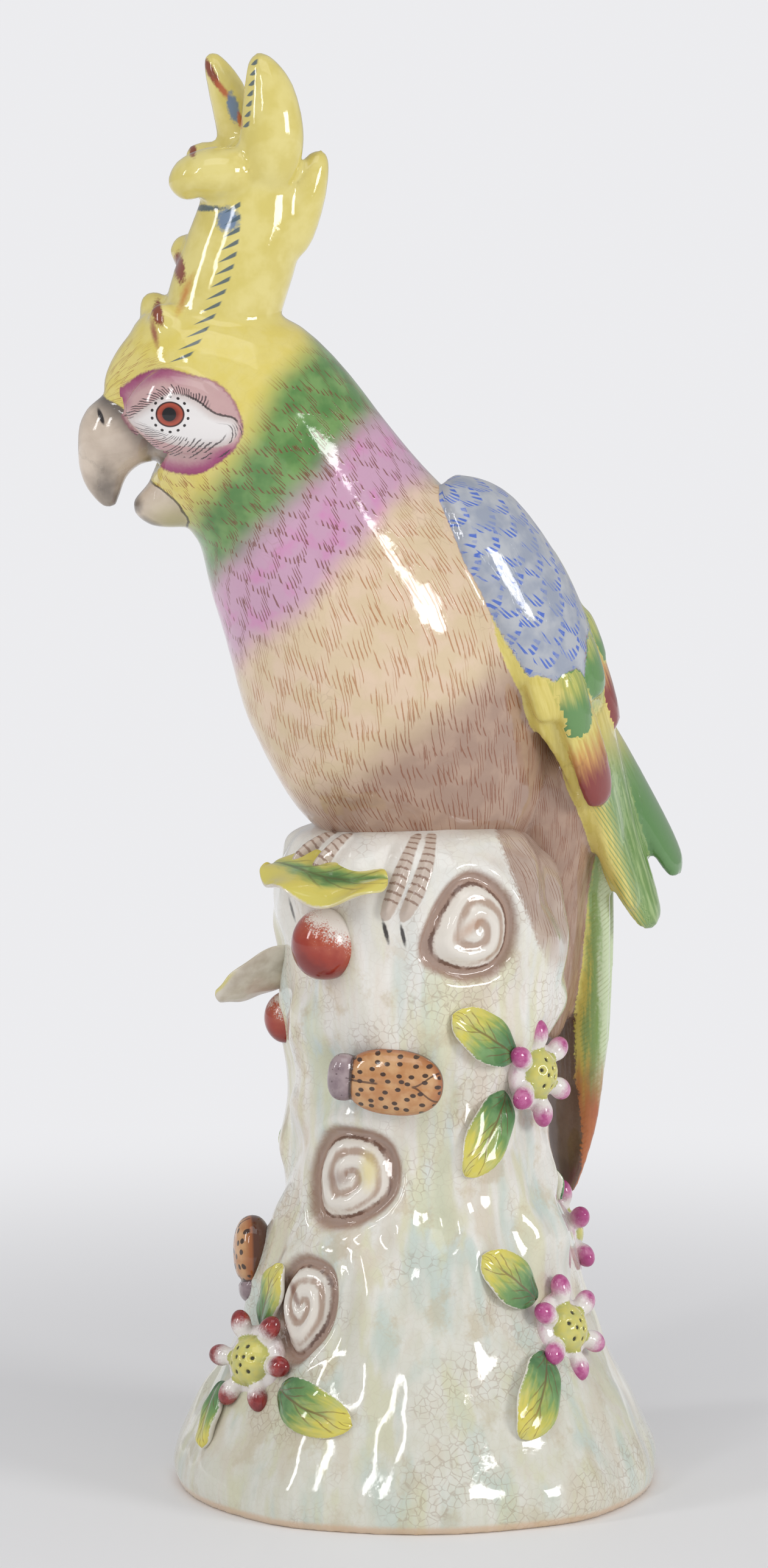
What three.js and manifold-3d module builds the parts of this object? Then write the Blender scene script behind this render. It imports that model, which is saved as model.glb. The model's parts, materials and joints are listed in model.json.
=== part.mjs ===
// A glazed porcelain cockatoo perched on a tree stump, all one casting: bird, stump, knots,
// leaves, fruit, flowers and beetles. Millimetres, +Z up. The origin is the centre of the flat
// underside. The beak points to -X, and the bird's left wing is on the -Y side.
import * as THREE from 'three';
import { mergeVertices } from 'three/addons/utils/BufferGeometryUtils.js';
import Module from 'manifold-3d';

const wasm = await Module();
wasm.setup();

// Driving sizes
const FOOT_RADIUS = 57.4;
const WAIST_RADIUS = 30.2;
const STUMP_TOP = 160;
const HEAD_Y = -19;
const BODY_HEADING = 35 * Math.PI / 180;
const BODY_MIDDLE = new THREE.Vector3(4, 3, 0);
const VENT_RADIUS = 4;
const VENT_DEPTH = 14;
const VENT_PLACE = [20, 14];
const WELD = 1e-3;

const forward = new THREE.Vector3(-Math.cos(BODY_HEADING), -Math.sin(BODY_HEADING), 0);
const leftward = new THREE.Vector3(Math.sin(BODY_HEADING), -Math.cos(BODY_HEADING), 0);
const backward = forward.clone().negate();
const up = new THREE.Vector3(0, 0, 1);
const towardViewer = new THREE.Vector3(0, -1, 0);

const degrees = (value) => value * Math.PI / 180;
const point = (x, y, z) => new THREE.Vector3(x, y, z);

// Closed geometry turned into a solid: seams welded, slivers dropped, faces turned outward
function solid(geometry) {
  geometry.deleteAttribute('normal');
  geometry.deleteAttribute('uv');
  const welded = mergeVertices(geometry, WELD);
  const place = welded.attributes.position;
  const corners = [];
  let volume = 0;
  const [a, b, c] = [point(), point(), point()];
  for (let i = 0; i < welded.index.count; i += 3) {
    const ids = [0, 1, 2].map((k) => welded.index.getX(i + k));
    if (new Set(ids).size < 3) continue;
    corners.push(...ids);
    a.fromBufferAttribute(place, ids[0]);
    b.fromBufferAttribute(place, ids[1]);
    c.fromBufferAttribute(place, ids[2]);
    volume += a.dot(b.cross(c));
  }
  if (volume < 0) corners.reverse();
  return new wasm.Manifold(new wasm.Mesh({
    numProp: 3,
    vertProperties: new Float32Array(place.array),
    triVerts: new Uint32Array(corners),
  }));
}

const joined = (solids) => solids.reduce((whole, next) => whole.add(next));

// A closed skin over rings laid along a spine. Each station gives where its ring is, its half
// depth along the outward direction, its half width across, and optionally that direction and
// the radius that the ring is bent round. A higher bluntness gives squarer ends.
function skin(stations, { out = towardViewer, across = 12, along = 8, blunt = 2.4 } = {}) {
  const spine = new THREE.CatmullRomCurve3(stations.map((s) => s.at), false, 'centripetal');
  const girth = new THREE.CatmullRomCurve3(stations.map((s) => point(s.deep, s.wide, s.bend ?? 0)));
  const facing = new THREE.CatmullRomCurve3(stations.map((s) => s.out ?? out));
  const geometry = new THREE.SphereGeometry(1, across, along);
  const place = geometry.attributes.position;
  const unit = point();
  for (let i = 0; i < place.count; i += 1) {
    unit.fromBufferAttribute(place, i);
    const t = Math.acos(THREE.MathUtils.clamp(unit.y, -1, 1)) / Math.PI;
    const s = THREE.MathUtils.lerp(t, (1 - unit.y) / 2, 0.5);
    const cap = Math.max(0, 1 - Math.abs(2 * s - 1) ** blunt) ** (1 / blunt);
    const tangent = spine.getTangent(s);
    const away = facing.getPoint(s);
    away.addScaledVector(tangent, -away.dot(tangent)).normalize();
    const side = tangent.clone().cross(away);
    const { x: deep, y: wide, z: bend } = girth.getPoint(s);
    const angle = Math.atan2(unit.z, unit.x);
    const reach = Math.abs(unit.y) > 1 - 1e-9 ? 0 : cap;
    const u = wide * reach * Math.sin(angle);
    const d = deep * reach * Math.cos(angle);
    const at = spine.getPoint(s);
    if (bend > 0) {
      const turn = u / bend;
      at.addScaledVector(side, (bend + d) * Math.sin(turn));
      at.addScaledVector(away, (bend + d) * Math.cos(turn) - bend);
    } else {
      at.addScaledVector(side, u).addScaledVector(away, d);
    }
    place.setXYZ(i, at.x, at.y, at.z);
  }
  return geometry;
}

const ring = (x, y, z, deep, wide, extra = {}) => ({ at: point(x, y, z), deep, wide, ...extra });

// The same shape on the bird's other side
function mirrored(geometry) {
  const n = leftward;
  const reflection = new THREE.Matrix4().set(
    1 - 2 * n.x * n.x, -2 * n.x * n.y, 0, 2 * n.x * n.dot(BODY_MIDDLE),
    -2 * n.y * n.x, 1 - 2 * n.y * n.y, 0, 2 * n.y * n.dot(BODY_MIDDLE),
    0, 0, 1, 0,
    0, 0, 0, 1,
  );
  return geometry.clone().applyMatrix4(reflection);
}

// The stump: half profile from the foot up, as radius and height
const STUMP_PROFILE = [
  [FOOT_RADIUS - 1, 0], [FOOT_RADIUS, 3], [55.4, 11], [52, 19.5], [47.2, 28], [42.8, 37.5],
  [39.4, 48], [36.6, 60], [32.8, 71], [30.6, 82], [WAIST_RADIUS, 97], [31.4, 107], [32.8, 115],
  [33, 127], [33.8, 140], [31.8, 151], [27, 157], [18, STUMP_TOP],
];

const radiusAt = (z) => {
  const upper = Math.max(1, STUMP_PROFILE.findIndex(([, height]) => height >= z));
  const [[r0, z0], [r1, z1]] = [STUMP_PROFILE[upper - 1], STUMP_PROFILE[upper]];
  return THREE.MathUtils.lerp(r0, r1, (z - z0) / (z1 - z0));
};

// Roots flare out between shallow valleys low down and fade into slow swells higher up
const ROOTS = [
  { angle: -91, width: 13, low: 14, high: 62, height: 2 },
  { angle: -70, width: 8, low: 40, high: 84, height: 1.8 },
  { angle: -122, width: 11, low: 0, high: 40, height: 1.6 },
  { angle: -48, width: 12, low: 0, high: 34, height: 2 },
  { angle: 20, width: 14, low: 0, high: 70, height: 2.4 },
  { angle: 75, width: 13, low: 0, high: 84, height: 2.4 },
  { angle: 128, width: 14, low: 0, high: 60, height: 2.2 },
  { angle: 172, width: 10, low: 0, high: 30, height: 1.2 },
  { angle: -40, width: 10, low: 104, high: 146, height: 1.6 },
];

function rootSwell(angle, z) {
  let swell = 0;
  for (const root of ROOTS) {
    const apart = THREE.MathUtils.euclideanModulo(angle - root.angle + 180, 360) - 180;
    const round = Math.exp(-((apart / root.width) ** 2));
    const middle = (root.low + root.high) / 2;
    const tall = Math.exp(-(((z - middle) / (root.high - root.low) * 1.6) ** 4));
    swell += root.height * round * tall;
  }
  return swell;
}

const surfaceRadius = (angle, z) => radiusAt(z) + rootSwell(angle, z);

// A place on the stump by angle in degrees (-90 faces the viewer) and height, lifted off it
function onStump(angle, z, lift = 0) {
  const r = surfaceRadius(angle, z) + lift;
  return point(r * Math.cos(degrees(angle)), r * Math.sin(degrees(angle)), z);
}

const stumpNormal = (angle, tilt = 0) => point(
  Math.cos(degrees(angle)) * Math.cos(degrees(tilt)),
  Math.sin(degrees(angle)) * Math.cos(degrees(tilt)),
  Math.sin(degrees(tilt)),
);

function stump() {
  const outline = [[0, 0], ...STUMP_PROFILE, [0, STUMP_TOP + 1]].map(([r, z]) => new THREE.Vector2(r, z));
  const lathe = new THREE.LatheGeometry(outline, 30);
  lathe.rotateX(Math.PI / 2);
  const place = lathe.attributes.position;
  for (let i = 0; i < place.count; i += 1) {
    const [x, y, z] = [place.getX(i), place.getY(i), place.getZ(i)];
    const r = Math.hypot(x, y);
    if (r < 1) continue;
    const grow = 1 + rootSwell(THREE.MathUtils.radToDeg(Math.atan2(y, x)), z) / r;
    place.setXYZ(i, x * grow, y * grow, z);
  }
  return solid(lathe);
}

// The bird's trunk from the belly up through the breast and neck, then forward into the face
function trunkOfBird() {
  const heading = (angle) => point(-Math.cos(degrees(angle)), -Math.sin(degrees(angle)), 0);
  return solid(skin([
    ring(11, 8, 144, 22, 20, { out: heading(35) }),
    ring(8, 6, 161, 34, 28, { out: heading(35) }),
    ring(0.6, 2, 181, 38.6, 31, { out: heading(35) }),
    ring(-8, -5, 202, 38, 31.5, { out: heading(34) }),
    ring(-20, -11, 224, 31, 27.5, { out: heading(30) }),
    ring(-30, -15, 242, 26, 23.5, { out: heading(20) }),
    ring(-43, -18, 257, 26, 22.5, { out: point(-0.65, -0.06, -0.75) }),
    ring(-54, HEAD_Y, 264, 21.5, 20, { out: point(-0.2, 0, -1) }),
    ring(-64.5, HEAD_Y, 263.5, 17, 15, { out: point(0, 0, -1) }),
    ring(-74.6, HEAD_Y, 261, 10.5, 9, { out: point(0.2, 0, -1) }),
  ], { across: 20, along: 17, blunt: 3 }));
}

// The mass of soft feathers that joins belly, stump and tail
function rump() {
  return solid(skin([
    ring(24, 9, 182, 20, 22, { out: forward }),
    ring(30, 11, 160, 15, 17, { out: forward }),
    ring(32, 12, 140, 11, 12, { out: forward }),
    ring(33, 14, 120, 8, 8, { out: forward }),
    ring(33, 15, 104, 5, 5, { out: forward }),
  ], { across: 9, along: 6 }));
}

function tail() {
  const vane = (x, y, z, deep, wide) => ring(x, y, z, deep, wide, { out: backward });
  return solid(skin([
    vane(37, 17, 172, 5.5, 12), vane(37.6, 21, 145, 5, 14.5), vane(37.8, 23.5, 110, 4.4, 14),
    vane(37.4, 24.5, 85, 3.8, 11), vane(37, 24.5, 64.5, 2.4, 4.5),
  ], { across: 10, along: 9, blunt: 3.4 }));
}

// A wing lies bent round the flank. Its middle line runs from the shoulder to the tip, and each
// station there also gives which way the wing faces and the radius that it is bent round.
const WING_LINE = [
  { at: point(6, -15, 240), out: point(0.5, -0.46, 0.72), bend: 26 },
  { at: point(18, -11, 232), out: point(0.82, -0.4, 0.4), bend: 29 },
  { at: point(29, -6, 217), out: point(0.92, -0.33, 0.22), bend: 32 },
  { at: point(36.8, -1, 200), out: point(0.95, -0.3, 0.12), bend: 33 },
  { at: point(42.4, 4, 183), out: point(0.95, -0.3, 0.1), bend: 32 },
  { at: point(46.6, 9, 166), out: point(0.95, -0.31, 0.08), bend: 31 },
  { at: point(51, 13.5, 148), out: point(0.94, -0.34, 0.04), bend: 30 },
  { at: point(55.6, 16.5, 130.5), out: point(0.92, -0.38, 0), bend: 30 },
];
const wingSpine = new THREE.CatmullRomCurve3(WING_LINE.map(({ at }) => at));
const wingFacing = new THREE.CatmullRomCurve3(WING_LINE.map(({ out }) => out));

function onWing(t, lift = 0) {
  const out = wingFacing.getPoint(t).normalize();
  return { at: wingSpine.getPoint(t).addScaledVector(out, lift), out, bend: 31 };
}

// A place on the wing, that far round it from the middle line, towards the back when positive
function roundWing(t, round, lift) {
  const { at, out, bend } = onWing(t);
  const across = wingSpine.getTangent(t).cross(out).normalize();
  const turn = round / bend;
  const facing = out.clone().multiplyScalar(Math.cos(turn)).addScaledVector(across, Math.sin(turn));
  return { at: at.addScaledVector(out, -bend).addScaledVector(facing, bend + lift), out: facing };
}

// Layers from the skin outwards, as place along the wing, lift, thickness and half width
const WING_LAYERS = [
  [[0.3, -1, 3.6, 20], [0.5, -1, 4.2, 24], [0.68, -1, 4, 18], [0.85, -0.6, 3.4, 11], [1, 0, 2.6, 6.5]],
  [[0.1, 0.2, 3.6, 16], [0.3, 0.2, 4.4, 25], [0.46, 0.2, 4.2, 22], [0.6, 0, 3.4, 14]],
  [[0, 0.4, 3.4, 9], [0.13, 0.8, 4.8, 17], [0.27, 1.2, 5.2, 22], [0.4, 0.9, 4, 18]],
];

// Feathers that stand out, as start and end along the wing, how far round it they lie, and size
const WING_FEATHERS = [
  { from: [0.4, -15], to: [0.57, -16], half: 5, thick: 2, lift: 3.4 },
  { from: [0.36, -8], to: [0.52, -9], half: 5, thick: 2, lift: 3.8 },
  { from: [0.48, -9], to: [0.73, -9], half: 5.6, thick: 2.2, lift: 2.6 },
  { from: [0.4, 1], to: [0.62, 1], half: 6, thick: 2.2, lift: 3.2 },
  { from: [0.62, -14], to: [0.9, -7], half: 4, thick: 2, lift: 1 },
];

// The innermost flight feather splays out from the others at the tip
const SPLAYED = [
  { at: point(45, 14, 188), out: point(0.95, -0.2, 0.3), deep: 2.4, wide: 6 },
  { at: point(53.6, 20, 167), out: point(0.93, -0.2, 0.3), deep: 2.8, wide: 7 },
  { at: point(65, 28, 142), out: point(0.9, -0.2, 0.35), deep: 2.6, wide: 6.5 },
];

function wings() {
  const shapes = WING_LAYERS.map((layer) => skin(layer.map(([t, lift, deep, wide]) => (
    { ...onWing(t, lift), deep, wide }
  )), { across: 8, along: 6, blunt: 3.4 }));
  shapes.push(skin(SPLAYED, { across: 6, along: 5, blunt: 3.4 }));
  const hidden = shapes.map(mirrored);
  for (const { from, to, half, thick, lift } of WING_FEATHERS) {
    const rings = [0, 0.5, 1].map((t) => ({
      ...roundWing(THREE.MathUtils.lerp(from[0], to[0], t), THREE.MathUtils.lerp(from[1], to[1], t), lift),
      deep: thick,
      wide: half,
    }));
    shapes.push(skin(rings, { across: 5, along: 4, blunt: 3.4 }));
  }
  return joined([...shapes, ...hidden].map(solid));
}

// Beak halves and the crest feathers lie in the head's own plane. Each ring there is given by
// its place, its half depth along a direction in that plane, and its half width across the head.
const inHead = (x, z, deep, wide, direction, y = HEAD_Y) => (
  ring(x, y, z, deep, wide, { out: point(direction[0], 0, direction[1]) })
);

function beak() {
  const upper = skin([
    inHead(-58, 256, 10, 9.5, [-0.4, 0.9]), inHead(-68.4, 252.4, 10.4, 8.6, [-0.55, 0.83]),
    inHead(-71.8, 246.6, 7.3, 6.8, [-0.9, 0.42]), inHead(-72.5, 242.3, 5.5, 5, [-1, 0.12]),
    inHead(-72, 238.4, 3.9, 3.8, [-1, -0.1]), inHead(-71, 234.6, 2.4, 2.4, [-1, -0.25]),
  ], { across: 10, along: 9, blunt: 3 });
  const lower = skin([
    inHead(-46, 241, 9, 12, [0, 1]), inHead(-56, 237, 7.2, 9, [0, 1]),
    inHead(-61.5, 235.4, 5.2, 6.4, [0, 1]), inHead(-66, 235, 2.6, 3.4, [-0.2, 1]),
  ], { across: 8, along: 7, blunt: 3 });
  return joined([solid(upper), solid(lower)]);
}

// The bare skin round each eye stands a little proud, with the eyeball in it
function eyes() {
  const parts = [];
  for (const side of [-1, 1]) {
    const outward = point(-0.3, side, 0.05).normalize();
    const ball = new THREE.SphereGeometry(1, 8, 5);
    ball.scale(4.6, 2.8, 4.1);
    ball.translate(-57, HEAD_Y + side * 19.2, 257);
    const rim = skin([
      ring(-67, HEAD_Y + side * 12.6, 258, 3.6, 5, { out: outward }),
      ring(-57, HEAD_Y + side * 18, 258, 3.8, 9.6, { out: outward }),
      ring(-42, HEAD_Y + side * 20.6, 253, 3.2, 8, { out: outward }),
    ], { across: 8, along: 5 });
    parts.push(solid(ball), solid(rim));
  }
  return joined(parts);
}

// Crest feathers as tapering lobes: a central mass, a near row, a far row and one behind
const NEAR_ROW = HEAD_Y - 5.5;
const FAR_ROW = HEAD_Y + 6;
const FORE = [-1, 0];
const TOP = [0, 1];
const SLANT = [-0.7, 0.7];
const CREST = [
  [inHead(-47, 266, 18, 15, FORE), inHead(-44.5, 282, 14, 13, FORE), inHead(-39.4, 298, 12.8, 10.5, FORE),
    inHead(-37, 311, 11, 9, FORE), inHead(-35.5, 321, 8, 7, FORE)],
  [inHead(-38, 312, 6.4, 7, TOP, NEAR_ROW), inHead(-46, 312, 6.4, 7.4, TOP, NEAR_ROW),
    inHead(-52, 310.6, 5.4, 6.6, [-0.3, 1], NEAR_ROW), inHead(-55, 306.5, 4, 4.6, [-0.8, 0.6], NEAR_ROW)],
  [inHead(-35, 308, 8.6, 7.4, FORE, NEAR_ROW + 1), inHead(-33.4, 321, 7.6, 6.8, FORE, NEAR_ROW),
    inHead(-34.2, 331, 6, 5.6, FORE, NEAR_ROW), inHead(-36.8, 339.6, 3.4, 3.8, FORE, NEAR_ROW)],
  [inHead(-39.5, 306, 5.8, 6, FORE, FAR_ROW), inHead(-41, 320, 5.2, 5.4, FORE, FAR_ROW),
    inHead(-44, 331, 4.4, 4.6, FORE, FAR_ROW), inHead(-48.2, 340, 2.8, 3.4, FORE, FAR_ROW)],
  [inHead(-40, 311, 5, 5, SLANT, FAR_ROW), inHead(-47.5, 315.6, 3.8, 4.4, SLANT, FAR_ROW),
    inHead(-53.6, 316.4, 2.6, 3.4, SLANT, FAR_ROW)],
  [inHead(-43, 285, 7, 6, SLANT, FAR_ROW - 1), inHead(-50, 291.6, 5.6, 5.4, SLANT, FAR_ROW - 1),
    inHead(-56.4, 296.6, 3.6, 4, SLANT, FAR_ROW - 1)],
  [inHead(-54, 270, 8, 7, SLANT, FAR_ROW - 2), inHead(-59, 278, 5.4, 5.6, SLANT, FAR_ROW - 2),
    inHead(-62.6, 284.4, 3, 3.8, SLANT, FAR_ROW - 2)],
  [inHead(-52, 272, 6, 6, SLANT, NEAR_ROW - 2), inHead(-57, 277, 4.6, 4.6, SLANT, NEAR_ROW - 3),
    inHead(-60, 282, 2.8, 3.4, SLANT, NEAR_ROW - 3)],
  [inHead(-32, 293, 7, 6.6, FORE), inHead(-26.6, 306, 5.4, 5.2, FORE), inHead(-21.8, 317.4, 3, 3.4, FORE)],
];

function crest() {
  return joined(CREST.map((lobe, i) => solid(skin(lobe, {
    across: i === 0 ? 10 : 6, along: i === 0 ? 6 : 5, blunt: 3,
  }))));
}

// Toes grip the stump's rim, as angle, top, foot and the claw's end
const TOES = [
  { angles: [-88, -97, -101], heights: [158, 149, 139] },
  { angles: [-81, -88, -96], heights: [158, 150, 138] },
  { angles: [-128, -136, -140], heights: [158, 152, 142] },
  { angles: [-144, -150, -153], heights: [158, 152, 143] },
];

function toes() {
  return joined(TOES.map(({ angles, heights }) => solid(skin([
    { at: onStump(angles[0], heights[0], -1), deep: 2.6, wide: 2.8 },
    { at: onStump(angles[1], heights[1], 0.8), deep: 2.6, wide: 2.8 },
    { at: onStump(angles[2], heights[2], 0), deep: 1, wide: 1.4 },
  ], { out: stumpNormal(angles[1]), across: 5, along: 4, blunt: 3 }))));
}

// A knot: a sunken ring cut in the bark round a raised boss with a curl on it
const KNOTS = [
  { angle: -71, height: 138.5, wide: 9.6, tall: 10.8, lean: 0 },
  { angle: -119, height: 79, wide: 10.4, tall: 10.6, lean: 8 },
  { angle: -132, height: 48, wide: 8.6, tall: 11, lean: 12 },
  { angle: 112, height: 74, wide: 10, tall: 11, lean: 6, plain: true },
];
const GROOVE_DEPTH = 1.5;
const GROOVE_RATIO = 0.15;
const BOSS_SHARE = 0.76;

function knotFrame({ angle, height, lean }) {
  const out = stumpNormal(angle, lean);
  const across = point(-Math.sin(degrees(angle)), Math.cos(degrees(angle)), 0);
  return new THREE.Matrix4().makeBasis(across, out.clone().cross(across), out).setPosition(onStump(angle, height));
}

function knotGroove(knot) {
  const torus = new THREE.TorusGeometry(1, GROOVE_RATIO, 3, 11);
  torus.scale(knot.wide, knot.tall, GROOVE_DEPTH / GROOVE_RATIO);
  return solid(torus.applyMatrix4(knotFrame(knot)));
}

function knotBoss(knot) {
  const boss = new THREE.SphereGeometry(1, 8, 5);
  boss.scale(knot.wide * BOSS_SHARE, knot.tall * BOSS_SHARE, 2.6);
  if (knot.plain) return solid(boss.applyMatrix4(knotFrame(knot)));
  const curl = skin([0, 1, 2, 3, 4, 5].map((turn) => {
    const r = 0.62 - turn * 0.1;
    const angle = turn * 1.25;
    return ring(r * knot.wide * Math.cos(angle), r * knot.tall * Math.sin(angle), 1.5 + 0.12 * turn, 1.5, 1.5);
  }), { out: up, across: 4, along: 5 });
  return joined([boss, curl].map((shape) => solid(shape.applyMatrix4(knotFrame(knot)))));
}

// A leaf laid on the bark from its stalk to its tip, each as angle and height
const LEAVES = [
  { from: [-45, 106], to: [-76, 117.5], half: 5 },
  { from: [-47, 98], to: [-71, 79.5], half: 4.8 },
  { from: [-44, 49], to: [-68, 61.5], half: 4.8 },
  { from: [-47, 38], to: [-63, 20.5], half: 5.2 },
  { from: [-152, 41], to: [-144, 57], half: 4.2 },
  { from: [-133, 30], to: [-107, 24], half: 5.4 },
  { from: [-158, 28], to: [-154, 13], half: 3.6 },
  { from: [18, 66], to: [34, 78], half: 4.6 },
  { from: [140, 102], to: [118, 116], half: 5 },
  { from: [146, 90], to: [158, 74], half: 4.8 },
];
const LEAF_THICKNESS = 2.2;

function leaf({ from, to, half }) {
  const stations = [[0, 0.55, 0.6], [0.3, 0.95, 1.6], [0.65, 1, 1.6], [1, 0.4, 1]].map(([t, width, lift]) => {
    const angle = THREE.MathUtils.lerp(from[0], to[0], t);
    const height = THREE.MathUtils.lerp(from[1], to[1], t);
    return {
      at: onStump(angle, height, lift), deep: LEAF_THICKNESS, wide: half * width, out: stumpNormal(angle, 12),
    };
  });
  return solid(skin(stations, { across: 4, along: 5, blunt: 3 }));
}

// Canopy leaves jut from the stump over a fruit, and droop outwards
function canopies() {
  const near = skin([
    ring(-35.6, -15, 150.6, 1.5, 4, { out: point(-0.4, -0.5, 0.9) }),
    ring(-26.4, -28, 150, 2, 10, { out: point(-0.3, -0.6, 0.9) }),
    ring(-16.4, -34.4, 149, 2, 10, { out: point(-0.1, -0.7, 0.9) }),
    ring(-6.2, -34.6, 149.6, 1.5, 4, { out: point(0.1, -0.6, 0.9) }),
  ], { across: 6, along: 6, blunt: 3 });
  const side = skin([
    ring(-29, 4, 127.4, 1.6, 6, { out: point(-0.6, -0.3, 0.8) }),
    ring(-38, 1, 124, 1.7, 8, { out: point(-0.6, -0.3, 0.8) }),
    ring(-46.6, -2, 118, 1.2, 2.6, { out: point(-0.6, -0.3, 0.8) }),
  ], { across: 6, along: 5, blunt: 3 });
  return joined([solid(near), solid(side)]);
}

const FRUITS = [
  { angle: -129.5, height: 133.6, lift: 1.4, radius: 7.6 },
  { angle: 176, height: 112, lift: 0.6, radius: 6.2 },
];

function fruits() {
  return joined(FRUITS.map(({ angle, height, lift, radius }) => {
    const ball = new THREE.SphereGeometry(radius, 9, 6);
    ball.scale(0.98, 0.98, 1.08);
    const { x, y, z } = onStump(angle, height, lift);
    return solid(ball.translate(x, y, z));
  }));
}

// A flower: six blunt petals round a domed heart that runs back into the bark
const FLOWERS = [
  { angle: -31, height: 101.5, face: -33, tilt: 4 },
  { angle: -34, height: 42, face: -36, tilt: 16 },
  { angle: -146, height: 34.5, face: -134, tilt: 14 },
  { angle: 12, height: 60, face: 12, tilt: 8 },
  { angle: 134, height: 95, face: 134, tilt: 4 },
];
const PETALS = 6;
const PETAL_REACH = 8.6;
const HEART_RADIUS = 5.8;

function flower({ angle, height, face, tilt }) {
  const out = stumpNormal(face, tilt);
  const across = point(-Math.sin(degrees(face)), Math.cos(degrees(face)), 0);
  const frame = new THREE.Matrix4().makeBasis(across, out.clone().cross(across), out);
  frame.setPosition(onStump(angle, height, 2.6));
  const heart = new THREE.SphereGeometry(1, 8, 5).scale(HEART_RADIUS, HEART_RADIUS, 7).translate(0, 0, -3.4);
  const petals = Array.from({ length: PETALS }, (_, i) => {
    const petal = new THREE.SphereGeometry(1, 4, 3).scale(5, 2.8, 2.3);
    return petal.translate(PETAL_REACH, 0, -0.2).rotateZ((i + 0.5) * 2 * Math.PI / PETALS);
  });
  return joined([heart, ...petals].map((shape) => solid(shape.applyMatrix4(frame))));
}

// A beetle: a domed pair of wing cases and a smaller head
const BEETLES = [
  { angle: -102, height: 102, long: 12.4, half: 8, turn: -4 },
  { angle: -174, height: 55, long: 10, half: 7, turn: 100 },
];

function beetle({ angle, height, long, half, turn }) {
  const out = stumpNormal(angle);
  const across = point(-Math.sin(degrees(angle)), Math.cos(degrees(angle)), 0);
  const frame = new THREE.Matrix4().makeBasis(across, out.clone().cross(across), out);
  frame.setPosition(onStump(angle, height, 0.4));
  const cases = new THREE.SphereGeometry(1, 10, 5).scale(long * 0.86, half, 4.6).translate(long * 0.14, 0, 0);
  const head = new THREE.SphereGeometry(1, 6, 4).scale(4, half * 0.72, 3.6).translate(-long * 0.74, 0, 0);
  return joined([cases, head].map((shape) => solid(shape.rotateZ(degrees(turn)).applyMatrix4(frame))));
}

// A small hole in the underside lets the kiln's hot air out of the hollow casting
function vent() {
  const hole = new THREE.CylinderGeometry(VENT_RADIUS, VENT_RADIUS, 2 * VENT_DEPTH, 12);
  hole.rotateX(Math.PI / 2);
  return solid(hole.translate(VENT_PLACE[0], VENT_PLACE[1], 0));
}

function casting() {
  const bark = KNOTS.reduce((body, knot) => body.subtract(knotGroove(knot)), stump());
  return joined([
    bark, ...KNOTS.map(knotBoss), ...LEAVES.map(leaf), canopies(), fruits(), ...FLOWERS.map(flower),
    ...BEETLES.map(beetle), toes(), trunkOfBird(), rump(), tail(), wings(), beak(), eyes(), crest(),
  ]).subtract(vent());
}

function geometryOf(shape) {
  const { vertProperties, triVerts } = shape.getMesh();
  const geometry = new THREE.BufferGeometry();
  geometry.setAttribute('position', new THREE.BufferAttribute(new Float32Array(vertProperties), 3));
  geometry.setIndex(new THREE.BufferAttribute(new Uint32Array(triVerts), 1));
  geometry.computeVertexNormals();
  return geometry;
}

const glaze = new THREE.MeshStandardMaterial({ color: 0xe4dcc8, roughness: 0.12, metalness: 0 });
const figurine = new THREE.Mesh(geometryOf(casting()), glaze);
figurine.name = 'cockatoo_on_stump';

const part = new THREE.Group();
part.add(figurine);

export default part;
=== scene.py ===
"""Looks of a glazed porcelain cockatoo on a tree stump, hand-painted over one casting.

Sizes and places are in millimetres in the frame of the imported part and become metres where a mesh
is made: +Z up, the underside's centre at the origin, the beak towards -X, the viewer on the -Y side.
"""

import json
import math

import bmesh
import bpy
import numpy as np
from mathutils import Matrix, Vector, noise
from mathutils.bvhtree import BVHTree
from mathutils.interpolate import poly_3d_calc

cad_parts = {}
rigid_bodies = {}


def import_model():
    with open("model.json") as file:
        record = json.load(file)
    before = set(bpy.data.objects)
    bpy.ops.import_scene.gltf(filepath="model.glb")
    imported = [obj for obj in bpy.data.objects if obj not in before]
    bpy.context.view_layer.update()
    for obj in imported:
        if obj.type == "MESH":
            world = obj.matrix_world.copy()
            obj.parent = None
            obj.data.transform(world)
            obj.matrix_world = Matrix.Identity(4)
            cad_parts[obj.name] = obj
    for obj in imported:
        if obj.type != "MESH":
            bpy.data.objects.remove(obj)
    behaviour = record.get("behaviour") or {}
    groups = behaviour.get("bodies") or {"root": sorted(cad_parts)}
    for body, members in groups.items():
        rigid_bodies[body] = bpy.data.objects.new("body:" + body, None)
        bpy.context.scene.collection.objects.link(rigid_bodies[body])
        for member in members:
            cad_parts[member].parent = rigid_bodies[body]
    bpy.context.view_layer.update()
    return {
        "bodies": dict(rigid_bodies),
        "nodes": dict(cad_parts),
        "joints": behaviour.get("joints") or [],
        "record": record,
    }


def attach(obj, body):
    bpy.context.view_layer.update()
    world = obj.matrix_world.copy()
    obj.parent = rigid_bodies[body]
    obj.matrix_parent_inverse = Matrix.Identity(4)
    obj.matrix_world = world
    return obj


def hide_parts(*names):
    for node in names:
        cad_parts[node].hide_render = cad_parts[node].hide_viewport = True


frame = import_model()

MM = 0.001
CASTING = "cockatoo_on_stump"

# Sizes shared with the solid
FOOT_RADIUS = 57.4
WAIST_RADIUS = 30.2
STUMP_TOP = 160
HEAD_Y = -19
BODY_HEADING = 35
BODY_MIDDLE = Vector((4, 3, 0))
VENT_RADIUS = 4
VENT_DEPTH = 14
VENT_PLACE = (20, 14)

# How far from a skin, in millimetres, its notes are still read
FAR = 12.0

# How fine the fused meshes are: the side of a remeshed face
BIRD_GRAIN = 0.92
STUMP_GRAIN = 0.87

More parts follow.
